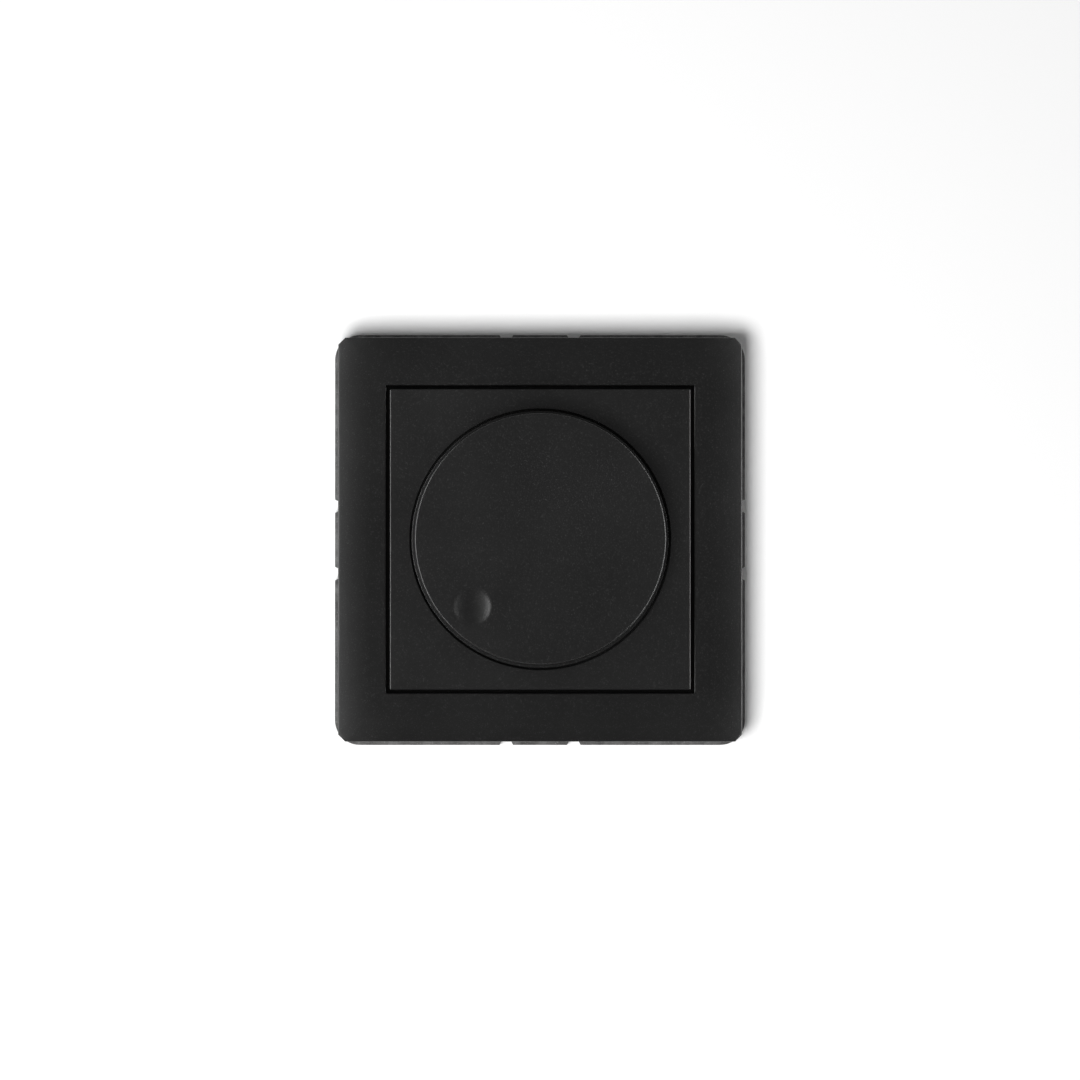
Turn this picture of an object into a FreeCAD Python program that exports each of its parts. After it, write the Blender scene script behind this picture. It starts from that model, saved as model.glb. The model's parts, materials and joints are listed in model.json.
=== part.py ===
import FreeCAD, Part
import math
import os

# Flush rotary dimmer switch. Lengths are millimetres and angles are degrees.
# It is drawn lying on its back: x is to the right, y is up the wall and z comes out of the wall,
# with z = 0 on the wall and the dimmer's axis at x = y = 0. It is stood up when it is saved.

# Front frame and under-frame
frame_gap = 0.75              # between the frame's opening and the centre plate
frame_strip = 10.05           # plan width of each of the frame's four strips
frame_wall = 1.8
frame_inner_wall = 1.4
frame_corner_cut = 1.8
frame_edge_radius = 0.5
frame_slope = 15.0            # how steeply the top has fallen at the outer edge
frame_fall_width = 6.9        # width of the outer band that falls
frame_turn_radius = 10.0      # plan radius on which the falling band turns a corner
ledge_width = 1.5             # inward from the opening, under the centre plate's skirt
ledge_thick = 1.2
lip = 0.75                    # what the under-frame shows beyond the front frame
under_height = 3.0
under_web = 1.6
under_rim = 1.6
under_corner_radius = 5.2
under_bearing = 0.9           # how far the under-frame reaches in beneath the frame's inner wall
notch_offset = 7.06           # from the middle of a side to the middle of a notch
notch_mouth = 2.85
notch_floor = 1.9
notch_depth = 0.9
hook_offset = 26.55           # from the middle of a side to the middle of a snap hook
hook_width = 5.0
hook_thick = 1.0
hook_barb = 0.8
hook_play = 0.35
hook_back_play = 0.2          # between a hook's back and its window
hook_catch_gap = 0.2          # between a barb and the web that it catches
hook_barb_height = 1.0
hook_barb_land = 0.4          # upright part of the barb's tip
hook_root = 2.0               # up the frame's wall
under_rib_thick = 1.0
under_rib_pitch = 9.5
under_rib_count = 5           # between the hooks of a side, with one more beyond each hook

# Centre plate
plate_side = 62.7
plate_wall = 1.6
plate_edge_radius = 0.3
plate_proud = 0.2             # above the frame's inner edge
plate_skirt = 5.2             # from the plate's top down to the frame's ledge
well_wall = 1.4
well_gap = 0.4                # round the knob's foot
peg_radius = 1.2
peg_length = 1.0
peg_share = 0.75              # of the hat's radius, from the axis to a peg
plate_rib_drop = 0.5          # corner ribs, below the plate's top
plate_rib_end = 2.0           # corner ribs, short of the plate's corner

# Knob
knob_face_radius = 25.75
knob_height = 7.5             # above the centre plate
knob_edge_radius = 0.3
knob_draft = 0.25             # how far the side leans in from foot to face
foot_radius = 26.8
foot_thick = 0.8
foot_sunk = 0.2               # below the centre plate's top
knob_wall = 1.6
knob_top_wall = 2.0
knob_rib_thick = 1.0
knob_rib_count = 8
knob_rib_depth = 3.2
boss_wall = 2.2
push_travel = 1.2
push_spare = 0.4              # left under the knob when it is pushed home
dimple_distance = 20.0
dimple_angle = 225.0          # from x, anticlockwise as seen from the room
dimple_radius = 3.95
dimple_depth = 1.14
dimple_rim_radius = 0.3
dimple_wall = 1.0             # round the dimple, under the knob's face

# Shaft, bushing and nut
shaft_radius = 3.0
shaft_flat = 1.6              # from the axis to the flat
shaft_running_gap = 0.05
shaft_hole_play = 0.3         # where the shaft passes the rear walls
shaft_chamfer = 0.4
bushing_radius = 5.0
bushing_proud = 0.4           # above the nut
bushing_flange_radius = 6.5
nut_flats = 14.0
nut_thick = 1.8
nut_chamfer = 0.5
clip_thick = 0.3
clip_width = 3.4
clip_fold = 2.0               # length of the part that is folded over
fit_gap = 0.03                # radial gap of parts that are pushed or screwed together
turn_gap = 0.1                # axial gap beside parts that turn

# Potentiometer and push switch
pot_radius = 8.5
pot_depth = 6.0
pot_wall = 1.2
pot_side_wall = 1.0
pot_flat = 0.5                # cut off the round case at top and bottom
rotor_play = 0.3
pot_pin_pitch = 5.0
pot_pin = 0.8
track_thick = 0.2
wiper_thick = 0.25
wiper_gap = 0.15
wiper_ring_width = 1.3
wiper_finger = 1.4
wiper_finger_offset = 1.2
switch_width = 13.0
switch_height = 10.0
switch_depth = 8.0
switch_wall = 1.2
plunger_radius = 3.6
plunger_thick = 1.4
plunger_sunk = 1.8            # from the switch's top to the shaft's rear end
plunger_stem_radius = 1.2
plunger_stem_length = 1.6
spring_wire_radius = 0.22
spring_radius = 2.3
spring_turns = 4.0
spring_wire_sides = 8         # flats of the wire's section

# Support plate
support_side = 71.0
support_thick = 1.2
support_corner_cut = 6.0
support_clearance = 0.7
box_screw_spacing = 60.0
box_slot_width = 3.8
box_slot_length = 7.0
level_slot_angle = 8.0        # each way, of the curved slots at left and right
gang_notch_offset = 16.0
gang_notch_width = 5.0
gang_notch_depth = 1.5

# Casing and its cover
casing_width = 42.0
casing_height = 50.0
casing_depth = 26.0           # behind the wall
casing_corner_cut = 6.5
casing_wall = 1.6
casing_edge_radius = 1.0
casing_side_rib = 5.0         # from the middle, ribs under the board at left and right
casing_top_rib = 8.0          # from the middle, ribs under the board at the top
hat_share = 1 / 3             # the hat's radius, of the casing's width
hat_wall = 1.4
hat_gap = 0.4
hat_edge_radius = 0.6
cover_lug_thick = 1.0         # lugs that set the cover in the casing
cover_lug_length = 18.0
cover_lug_depth = 1.2
post_side_inset = 3.8         # from the casing's left or right side to a screw post
post_end_inset = 7.8          # from the casing's top or bottom to a screw post
post_block_gap = 0.8          # between a post and the terminal block
post_radius = 2.6
cover_screw_radius = 1.25
cover_screw_head_radius = 2.4
cover_screw_head = 1.5
cover_screw_length = 11.0
cover_screw_play = 0.25
cover_screw_edge = 0.5
cover_screw_point = 1.0
cover_screw_recess = 0.9
vent_count = 5
vent_width = 1.6
vent_length = 15.0
vent_pitch = 3.4
vent_drop = 6.2               # from the upper posts down to the middle of the vents

# Circuit board and what is on it
board_thick = 1.6
board_gap = 0.3
board_rib = 1.2
trimmer_inset = 4.6           # from the casing's left side
trimmer_lift = 6.7            # above the lower posts
trimmer_side = 5.4
trimmer_height = 4.8
trimmer_radius = 2.4
trimmer_play = 0.35
trimmer_stem_radius = 1.4
trimmer_floor = 1.0
trimmer_sunk = 0.5            # head below the cover's front
trimmer_slot_width = 0.8
trimmer_slot_depth = 1.0
choke_share = 0.445           # its radius, of the bay between the posts
choke_overhang = 0.9          # past the bay, below the post
choke_drop = 5.2              # below the upper posts
choke_core_share = 0.46       # the core's radius, of the choke's
choke_flange = 1.4
choke_height = 11.0
choke_rows = 9
choke_winding_sunk = 0.5      # below the flanges' rims
film_cap_share = 0.89         # its width, of the bay
film_cap_gap = 0.9            # to the post beside it
film_cap_inset = 8.0          # from the casing's top
film_cap_thick = 6.0
film_cap_height = 10.5
film_cap_edge = 0.6
round_cap_share = 0.27        # its radius, of the bay
round_cap_place = 0.75        # of the bay
round_cap_drop = 9.4          # below the film capacitor
round_cap_height = 10.8
round_cap_edge = 0.5
round_cap_groove = 0.8        # rolled groove near the foot of the can
fuse_length = 20.0
fuse_radius = 2.5
fuse_glass = 0.6
fuse_y = -4.2
fuse_cap_length = 5.0
fuse_cap_wall = 0.15
fuse_axis_height = 4.4        # from the board to the fuse's axis
clip_sheet = 0.4
triac_width = 10.0
triac_body_share = 0.59       # of its length, the rest being its tab
triac_tab_thick = 1.3
triac_thick = 4.4
triac_switch_gap = 1.3        # between the push switch and the end with the leads
triac_end_gap = 0.1
triac_lead_pitch = 2.54
triac_lead = 0.7
triac_lead_reach = 0.9        # out of the body before the bend
triac_hole_share = 0.46       # of the tab's length, from its end to its hole
triac_screw_share = 0.24      # its radius, of the tab's length
triac_screw_play = 0.3
triac_head_share = 0.44       # the head's radius, of the tab's length
triac_screw_head = 2.0
triac_screw_recess = 1.2
spreader_thick = 1.5
spreader_post_gap = 2.6       # between the sheet and the posts at its sides
spreader_leg = 6.0
spreader_gap = 0.3            # between the potentiometer and the sheet
spreader_edge_gap = 0.1       # between the leg and the casing's wall

# Terminals
terminal_count = 3
chamber_share = 0.8           # a chamber's width, of the terminal pitch
cage_length = 6.6
cage_side_wall = 0.9
cage_thread_wall = 2.0
cage_end_wall = 1.0
cage_edge_radius = 0.6
cage_play = 0.2
cage_travel = 1.8
wire_gap = 2.0                # clear height for the wire with the cage open
bar_thick = 1.6
terminal_screw_share = 0.35   # its radius, of the cage's window
terminal_head_share = 0.3     # its radius, of the terminal pitch
terminal_head = 2.0
terminal_head_sunk = 0.4
terminal_head_play = 0.3
terminal_head_edge = 0.3
terminal_recess = 1.1
screw_point = 0.4             # chamfer at the end of a screw or bushing
block_wall = 1.2
block_end_wall = 1.3
block_gap = 0.1
bar_play = 0.1                # at the closed end of a bar's slot
bar_bend_gap = 0.3            # between the block and the bar's upright leg

# Claws
claw_y = 7.5
claw_width = 9.0
claw_thick = 1.0
claw_gap = 0.3                # between casing and claw
claw_depth = 21.0
claw_tooth = 2.2
claw_tooth_high = 0.6         # of the sheet's thickness, top and bottom of the tooth's end
claw_tooth_low = 0.2
claw_notch_depth = 0.9
claw_notch_half = 0.5
claw_eye_radius = 1.3
claw_pin_radius = 0.8
claw_pivot_depth = 2.0
claw_foot_thick = 1.2
claw_foot_angle = 12.0        # the foot starts this far below level and ends as far above
claw_foot_reach = 5.2
claw_foot_slot_across = 3.9
claw_foot_slot_along = 3.4
claw_screw_reach = 3.3        # from the pivot to the screw
claw_screw_radius = 1.5
claw_screw_head_radius = 2.5
claw_screw_head = 1.8
claw_screw_edge = 0.4
claw_screw_recess = 1.0
claw_hole_play = 0.1
claw_screw_length = 14.0
claw_fork_gap = 4.2
claw_side_gap = 0.3
claw_ear_thick = 1.2
claw_ear_half = 1.5

V = FreeCAD.Vector
origin = V(0, 0, 0)
x_axis = V(1, 0, 0)
y_axis = V(0, 1, 0)
z_axis = V(0, 0, 1)
recess_arm = 0.28             # of a head's radius
recess_span = 1.5             # of a head's radius, tip to tip
spare = 1.0                   # how far a cutting tool runs past the face that it cuts
bite = 0.2                    # how far a rib or post runs into the wall that it grows from

# Plan sizes that follow from the values above
well_radius = foot_radius + well_gap
frame_opening = plate_side + 2 * frame_gap
frame_side = frame_opening + 2 * frame_strip
under_side = frame_side + 2 * lip
under_opening = frame_opening + 2 * (frame_inner_wall - under_bearing)
support_pocket = support_side + 2 * support_clearance
ledge_opening = frame_opening - 2 * ledge_width
hat_radius = hat_share * casing_width
peg_offset = peg_share * hat_radius
post_x = casing_width / 2 - post_side_inset
post_y = casing_height / 2 - post_end_inset
vent_y = post_y - vent_drop

# What is on the board, from the bay between the upper posts
bay = post_x - post_radius
choke_radius = choke_share * bay
choke_core_radius = choke_core_share * choke_radius
choke_x = choke_radius - bay - choke_overhang
choke_y = post_y - choke_drop
film_cap_width = film_cap_share * bay
film_cap_x = bay - film_cap_gap - film_cap_width / 2
film_cap_y = casing_height / 2 - film_cap_inset
round_cap_radius = round_cap_share * bay
round_cap_x = round_cap_place * bay
round_cap_y = film_cap_y - round_cap_drop
trimmer_x = trimmer_inset - casing_width / 2
trimmer_y = trimmer_lift - post_y
spreader_width = 2 * (bay - spreader_post_gap)
spreader_end = casing_height / 2 - casing_wall - spreader_edge_gap
triac_start = switch_height / 2 + triac_switch_gap
triac_end = spreader_end - spreader_thick - triac_end_gap
triac_tab_start = triac_start + triac_body_share * (triac_end - triac_start)
triac_tab_length = triac_end - triac_tab_start
triac_screw_y = triac_end - triac_hole_share * triac_tab_length
triac_screw_radius = triac_screw_share * triac_tab_length
triac_screw_head_radius = triac_head_share * triac_tab_length

# The terminals, from the width between the lower posts
block_half = bay - post_block_gap
terminal_pitch = (block_half - block_wall) / ((terminal_count - 1 + chamber_share) / 2)
chamber_width = chamber_share * terminal_pitch
chamber_length = cage_length + 2 * cage_play
cage_width = chamber_width - 2 * cage_play
cage_window = cage_width - 2 * cage_side_wall
bar_width = cage_window - 2 * cage_play
terminal_screw_radius = terminal_screw_share * cage_window
terminal_head_radius = terminal_head_share * terminal_pitch
block_low = -casing_height / 2 + casing_wall + block_gap
terminal_y = block_low + block_end_wall + chamber_length / 2
bar_end_y = block_low + 0.5 * block_wall

# Heights, from the wall outwards
ledge_top = under_height + ledge_thick
plate_top = ledge_top + plate_skirt
frame_top = plate_top - plate_proud
foot_top = plate_top - foot_sunk
foot_bottom = foot_top - foot_thick
well_floor = foot_bottom - push_travel - push_spare
hat_top = well_floor - plate_wall
nut_top = well_floor + nut_thick
bushing_top = nut_top + bushing_proud
boss_bottom = bushing_top + push_travel + push_spare + clip_thick
knob_top = plate_top + knob_height
knob_ceiling = knob_top - knob_top_wall
shaft_top = knob_ceiling - 0.5 * boss_wall

# Heights of what lies behind, from the front of the potentiometer inwards
pot_front = hat_top - casing_wall
pot_rear = pot_front - pot_depth
pot_roof = pot_front - pot_wall
pot_floor = pot_rear + pot_wall
switch_rear = pot_rear - switch_depth
shaft_rear = pot_rear - plunger_sunk
board_front = switch_rear
board_rear = board_front - board_thick
cover_rear = -casing_wall
casing_rear = -casing_depth
casing_floor = casing_rear + casing_wall

# Heights in the terminals: the screw's head is at the rear
head_rear = casing_rear + terminal_head_sunk
head_front = head_rear + terminal_head
cage_rear = head_front + cage_play + cage_travel
bar_rear = cage_rear + cage_thread_wall + cage_travel + cage_play
bar_front = bar_rear + bar_thick
cage_front = bar_front + wire_gap + cage_end_wall
terminal_xs = [(i - (terminal_count - 1) / 2) * terminal_pitch for i in range(terminal_count)]
block_front = board_rear - block_gap
block_rear = casing_floor + block_gap

# Places in the claws
claw_inner_x = casing_width / 2 + claw_gap
claw_pivot_x = claw_inner_x + claw_eye_radius
claw_screw_x = claw_pivot_x + claw_screw_reach
claw_pivot_z = -claw_pivot_depth


# Basic shapes

def block(x0, x1, y0, y1, z0, z1):
    return Part.makeBox(x1 - x0, y1 - y0, z1 - z0, V(x0, y0, z0))


def slab(width, height, z0, z1, x=0.0, y=0.0):
    return block(x - width / 2, x + width / 2, y - height / 2, y + height / 2, z0, z1)


def disc(radius, z0, z1, x=0.0, y=0.0):
    return Part.makeCylinder(radius, z1 - z0, V(x, y, z0))


def ring(inner, outer, z0, z1, x=0.0, y=0.0):
    return disc(outer, z0, z1, x, y).cut(disc(inner, z0 - spare, z1 + spare, x, y))


def prism(points, z0, z1):
    corners = [V(x, y, z0) for x, y in points]
    face = Part.Face(Part.makePolygon(corners + corners[:1]))
    return face.extrude(V(0, 0, z1 - z0))


def turned(points, x=0.0, y=0.0):
    """Solid of revolution from (radius, z) points."""
    corners = [V(r, 0, z) for r, z in points]
    solid = Part.Face(Part.makePolygon(corners + corners[:1])).revolve(origin, z_axis, 360)
    solid.translate(V(x, y, 0))
    return solid


def cut_slab(width, height, cut, z0, z1):
    """Slab with its four corners cut at 45 degrees."""
    a = width / 2
    b = height / 2
    points = [(a, b - cut), (a - cut, b), (cut - a, b), (-a, b - cut)]
    points += [(-a, cut - b), (cut - a, -b), (a - cut, -b), (a, cut - b)]
    return prism(points, z0, z1)


def round_edges(shape, radius, wanted):
    """Round the edges for whose middle point wanted(x, y, z) holds."""
    edges = []
    for edge in shape.Edges:
        middle = edge.valueAt((edge.FirstParameter + edge.LastParameter) / 2)
        if wanted(middle.x, middle.y, middle.z):
            edges.append(edge)
    return shape.makeFillet(radius, edges)


def near(a, b):
    return abs(a - b) < 0.001


def four_ways(shape):
    """The shape and its copies turned by quarter turns about the dimmer's axis."""
    copies = []
    for quarter in range(4):
        copy = shape.copy()
        copy.rotate(origin, z_axis, 90 * quarter)
        copies.append(copy)
    return copies


def opposite(shape):
    copy = shape.copy()
    copy.rotate(origin, z_axis, 180)
    return copy


def fused(shapes):
    return shapes[0].multiFuse(shapes[1:]).removeSplitter()


def slot_tool(width, length, z0, z1):
    """Round-ended slot along y, centred on the axis."""
    straight = length / 2 - width / 2
    ends = [disc(width / 2, z0, z1, 0, y) for y in (-straight, straight)]
    return slab(width, 2 * straight, z0, z1).fuse(ends)


def d_bore(radius, flat, z0, z1):
    """Round bar with one flat on its +x side."""
    return disc(radius, z0, z1).cut(block(flat, radius + spare, -radius, radius, z0, z1))


def cross_recess(radius, depth, z_face, way):
    """Cross slot for a screwdriver in a head's face; way is +1 if the face looks along z."""
    arm = recess_arm * radius
    span = recess_span * radius
    z0, z1 = sorted((z_face + way * spare, z_face - way * depth))
    arms = [slab(span, arm, z0, z1), slab(arm, span, z0, z1)]
    return arms[0].fuse(arms[1])


# Front

def domed_slab(side, turn, top, base):
    """Slab whose top is flat inside and falls in an arc to its edges, turning each corner smoothly."""
    middle = side / 2 - turn
    radius = frame_fall_width / math.sin(math.radians(frame_slope))
    start = turn - frame_fall_width
    reach = 1.6 * turn

    def height(r):
        return top - radius + math.sqrt(radius ** 2 - (r - start) ** 2)

    half = (start + reach) / 2
    arc = Part.Arc(V(start, 0, top), V(half, 0, height(half)), V(reach, 0, height(reach)))
    corners = [V(reach, 0, height(reach)), V(reach, 0, base), V(0, 0, base), V(0, 0, top), V(start, 0, top)]
    lines = [Part.makeLine(a, b) for a, b in zip(corners, corners[1:])]
    section = Part.Face(Part.Wire([arc.toShape()] + lines))
    corner = section.revolve(origin, z_axis, 90)
    corner.translate(V(middle, middle, 0))
    strip = section.copy()
    strip.translate(V(middle, -middle, 0))
    strip = strip.extrude(V(0, 2 * middle, 0))
    return fused([slab(2 * middle, 2 * middle, base, top)] + four_ways(corner) + four_ways(strip))


def snap_hooks():
    """Eight hooks that hang from the frame's outer wall and catch behind the under-frame's web."""
    outer = frame_side / 2 - frame_wall
    tip = under_height - under_web - hook_catch_gap
    end = tip - hook_barb_height
    hooks = []
    for y in (-hook_offset, hook_offset):
        leg = slab(hook_thick, hook_width, end, under_height + hook_root, outer - hook_thick / 2, y)
        land = tip - hook_barb_land
        barb = prism([(0, tip), (-hook_barb, tip), (-hook_barb, land), (0, end)], 0, hook_width)
        barb.rotate(origin, x_axis, 90)
        barb.translate(V(outer - hook_thick, y + hook_width / 2, 0))
        hooks += four_ways(leg.fuse(barb))
    return hooks


def make_front_frame():
    turn = frame_turn_radius
    outside = domed_slab(frame_side, turn, frame_top, under_height)
    outline = cut_slab(frame_side, frame_side, frame_corner_cut, under_height, frame_top + spare)
    outside = outside.common(outline)
    edge = frame_side / 2 - 2 * frame_corner_cut
    outside = round_edges(outside, frame_edge_radius,
                          lambda x, y, z: z > under_height + 1.0 and max(abs(x), abs(y)) > edge
                          and z < frame_top - 0.3)
    inside = domed_slab(frame_side, turn, frame_top - frame_wall, under_height - spare)
    hollow = frame_side - 2 * frame_wall
    inside = inside.common(cut_slab(hollow, hollow, frame_corner_cut, under_height - spare, frame_top))
    wall = frame_opening + 2 * frame_inner_wall
    inside = inside.cut(slab(wall, wall, 0, frame_top))
    frame = outside.cut(inside)
    frame = frame.cut(slab(frame_opening, frame_opening, ledge_top, frame_top + spare))
    frame = frame.cut(slab(ledge_opening, ledge_opening, 0, frame_top))
    frame = round_edges(frame, plate_edge_radius,
                        lambda x, y, z: near(z, frame_top) and near(max(abs(x), abs(y)), frame_opening / 2))
    return fused([frame] + snap_hooks())


def make_under_frame():
    half = under_side / 2
    body = slab(under_side, under_side, 0, under_height)
    body = round_edges(body, under_corner_radius, lambda x, y, z: near(abs(x), half) and near(abs(y), half))
    web_rear = under_height - under_web
    body = body.cut(slab(under_opening, under_opening, -spare, under_height + spare))
    body = body.cut(slab(support_pocket, support_pocket, -spare, web_rear))
    inner = support_pocket / 2 + under_rib_thick
    outer = half - under_rim
    channel = slab(2 * outer, 2 * outer, -spare, web_rear)
    channel = round_edges(channel, under_corner_radius - under_rim,
                          lambda x, y, z: near(abs(x), outer) and near(abs(y), outer))
    body = body.cut(channel.cut(slab(2 * inner, 2 * inner, -spare, web_rear)))
    places = [(i - (under_rib_count - 1) / 2) * under_rib_pitch for i in range(under_rib_count)]
    places += [side * (hook_offset + hook_width) for side in (-1, 1)]
    ribs = []
    for place in places:
        rib = slab(outer - inner + 2 * bite, under_rib_thick, 0, web_rear + bite, (outer + inner) / 2, place)
        ribs += four_ways(rib)
    body = fused([body] + ribs)
    hook_face = frame_side / 2 - frame_wall
    window = slab(hook_thick + hook_play + hook_back_play, hook_width + 2 * hook_play,
                  -spare, under_height + spare, hook_face - (hook_thick + hook_play - hook_back_play) / 2, 0)
    mouth = notch_mouth / 2
    floor = notch_floor / 2
    notch = prism([(half + spare, -mouth), (half + spare, mouth), (half, mouth), (half - notch_depth, floor),
                   (half - notch_depth, -floor), (half, -mouth)], -spare, under_height + spare)
    for y in (-1, 1):
        for tool, offset in ((window, hook_offset), (notch, notch_offset)):
            placed = tool.copy()
            placed.translate(V(0, y * offset, 0))
            for turned_tool in four_ways(placed):
                body = body.cut(turned_tool)
    return body


def make_centre_plate():
    half = plate_side / 2
    skirt_foot = plate_top - plate_skirt
    body = slab(plate_side, plate_side, skirt_foot, plate_top)
    body = round_edges(body, plate_edge_radius, lambda x, y, z: z > skirt_foot + 0.1)
    hollow = plate_side - 2 * plate_wall
    body = body.cut(slab(hollow, hollow, skirt_foot - spare, plate_top - plate_wall))
    well_outside = well_radius + well_wall
    ribs = []
    rib_in = well_outside - plate_rib_end
    rib_out = half * math.sqrt(2) - plate_rib_end
    rib = block(rib_in, rib_out, -plate_wall / 2, plate_wall / 2, hat_top, plate_top - plate_rib_drop)
    for quarter in four_ways(rib):
        quarter.rotate(origin, z_axis, 45)
        ribs.append(quarter)
    body = fused([body, disc(well_outside, hat_top, plate_top - bite)] + ribs)
    body = body.cut(disc(well_radius, well_floor, plate_top + spare))
    body = body.cut(disc(bushing_radius + 3 * fit_gap, 0, plate_top))
    for x in (-peg_offset, peg_offset):
        body = body.cut(disc(peg_radius + 3 * fit_gap, 0, hat_top + peg_length + turn_gap, x))
    return round_edges(body, plate_edge_radius / 2,
                       lambda x, y, z: near(z, plate_top) and near(math.hypot(x, y), well_radius))


def make_plate_nut():
    across = nut_flats / 2 / math.cos(math.radians(30))
    corners = [(across * math.cos(math.radians(60 * i)), across * math.sin(math.radians(60 * i)))
               for i in range(6)]
    nut = prism(corners, well_floor, nut_top)
    chamfer = turned([(0, well_floor), (across, well_floor), (across, nut_top - nut_chamfer),
                      (nut_flats / 2, nut_top), (0, nut_top)])
    return nut.common(chamfer).cut(disc(bushing_radius + fit_gap, 0, nut_top + spare))


def make_knob():
    shoulder = knob_face_radius + knob_edge_radius
    cap = turned([(0, foot_bottom), (foot_radius, foot_bottom), (foot_radius, foot_top),
                  (shoulder + knob_draft, foot_top), (shoulder, knob_top), (0, knob_top)])
    cap = round_edges(cap, knob_edge_radius, lambda x, y, z: near(z, knob_top))
    cap = round_edges(cap, foot_thick / 5, lambda x, y, z: near(math.hypot(x, y), foot_radius)
                      and near(z, foot_top))
    inner = shoulder - knob_wall
    cap = cap.cut(turned([(0, foot_bottom - spare), (inner + knob_draft, foot_bottom - spare),
                          (inner, knob_ceiling), (0, knob_ceiling)]))
    angle = math.radians(dimple_angle)
    dimple_x = dimple_distance * math.cos(angle)
    dimple_y = dimple_distance * math.sin(angle)
    boss_radius = shaft_radius + boss_wall
    inside = [disc(boss_radius, boss_bottom, knob_ceiling + bite)]
    inside.append(disc(dimple_radius + dimple_wall, knob_ceiling - dimple_depth, knob_ceiling + bite,
                       dimple_x, dimple_y))
    for i in range(knob_rib_count):
        rib = block(boss_radius - bite, inner + bite, -knob_rib_thick / 2, knob_rib_thick / 2,
                    knob_ceiling - knob_rib_depth, knob_ceiling + bite)
        rib.rotate(origin, z_axis, 360 / knob_rib_count * (i + 0.5))
        inside.append(rib)
    cap = fused([cap] + inside)
    cap = cap.cut(d_bore(shaft_radius + fit_gap, shaft_flat + clip_thick + fit_gap, 0, shaft_top + turn_gap))
    ball_radius = (dimple_radius ** 2 + dimple_depth ** 2) / (2 * dimple_depth)
    cap = cap.cut(Part.makeSphere(ball_radius, V(dimple_x, dimple_y, knob_top - dimple_depth + ball_radius)))
    return round_edges(cap, dimple_rim_radius, lambda x, y, z: near(z, knob_top)
                       and near(math.hypot(x - dimple_x, y - dimple_y), dimple_radius))


def make_knob_clip():
    """Spring strip on the shaft's flat, folded over under the boss."""
    x0 = shaft_flat + fit_gap / 2
    fold_bottom = boss_bottom - clip_thick
    half = clip_width / 2
    strip = block(x0, x0 + clip_thick, -half, half, fold_bottom, shaft_top - clip_thick)
    fold = block(x0, x0 + clip_fold, -half, half, fold_bottom, boss_bottom)
    return fused([strip, fold])


# Shaft, potentiometer and push switch

def make_shaft():
    shaft = disc(shaft_radius, shaft_rear, shaft_top)
    upper = block(shaft_flat, shaft_radius + spare, -shaft_radius, shaft_radius,
                  bushing_top + push_travel, shaft_top + spare)
    lower = block(shaft_flat, shaft_radius + spare, -shaft_radius, shaft_radius,
                  shaft_rear - spare, pot_roof - 0.5 * pot_wall)
    shaft = shaft.cut(upper).cut(lower)
    return shaft.makeChamfer(shaft_chamfer, [e for e in shaft.Edges if near(e.BoundBox.ZMin, shaft_top)])


def make_pot_bushing():
    bushing = turned([(shaft_radius + shaft_running_gap, pot_roof), (bushing_flange_radius, pot_roof),
                      (bushing_flange_radius, pot_front), (bushing_radius, pot_front),
                      (bushing_radius, bushing_top - screw_point),
                      (bushing_radius - screw_point, bushing_top),
                      (shaft_radius + shaft_running_gap, bushing_top)])
    return bushing


def make_pot_body():
    body = disc(pot_radius, pot_rear, pot_front)
    body = body.common(slab(4 * pot_radius, 2 * (pot_radius - pot_flat), pot_rear, pot_front))
    body = body.cut(disc(pot_radius - pot_side_wall, pot_floor, pot_roof))
    body = body.cut(disc(bushing_flange_radius + fit_gap, pot_roof - spare, pot_front + spare))
    return body.cut(disc(shaft_radius + shaft_hole_play, pot_rear - spare, pot_roof))


def make_pot_rotor():
    wiper_front = pot_floor + track_thick + wiper_gap + wiper_thick
    rotor = disc(pot_radius - pot_side_wall - rotor_play, wiper_front, pot_roof - turn_gap)
    split = pot_roof - 0.5 * pot_wall - push_travel - turn_gap
    rotor = rotor.cut(d_bore(shaft_radius + shaft_running_gap, shaft_flat + shaft_running_gap,
                             wiper_front - spare, split))
    return rotor.cut(disc(shaft_radius + shaft_hole_play / 2, split, pot_roof))


def make_pot_wiper():
    """Thin ring under the rotor with two fingers that reach over the resistive track."""
    z0 = pot_floor + track_thick + wiper_gap
    z1 = z0 + wiper_thick
    inner = shaft_radius + 2 * bite
    tip = pot_radius - pot_side_wall - 3 * rotor_play
    ring_part = ring(inner, inner + wiper_ring_width, z0, z1)
    root = inner + 0.5 * wiper_ring_width
    half = wiper_finger / 2
    places = (-wiper_finger_offset, wiper_finger_offset)
    fingers = [block(x - half, x + half, root, tip, z0, z1) for x in places]
    return fused([ring_part] + fingers)


def make_pot_track():
    outer = pot_radius - pot_side_wall - rotor_play
    return ring(shaft_radius + 3 * rotor_play, outer, pot_floor, pot_floor + track_thick)


def make_pot_pins():
    pins = []
    y = -(pot_radius - pot_flat) - 0.75 * pot_pin
    for i in (-1, 0, 1):
        pins.append(slab(pot_pin, pot_pin, board_front, pot_floor, i * pot_pin_pitch, y))
    return Part.makeCompound(pins)


def make_switch_body():
    body = slab(switch_width, switch_height, switch_rear, pot_rear)
    hollow = slab(switch_width - 2 * switch_wall, switch_height - 2 * switch_wall,
                  switch_rear + switch_wall, pot_rear - switch_wall)
    hole = disc(shaft_radius + shaft_hole_play, pot_rear - switch_wall - spare, pot_rear + spare)
    return body.cut(hollow).cut(hole)


def make_switch_plunger():
    top = shaft_rear - shaft_running_gap
    plunger = turned([(0, top), (plunger_radius, top), (plunger_radius, top - plunger_thick),
                      (plunger_stem_radius, top - plunger_thick),
                      (plunger_stem_radius, top - plunger_thick - plunger_stem_length),
                      (0, top - plunger_thick - plunger_stem_length)])
    return plunger


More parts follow.
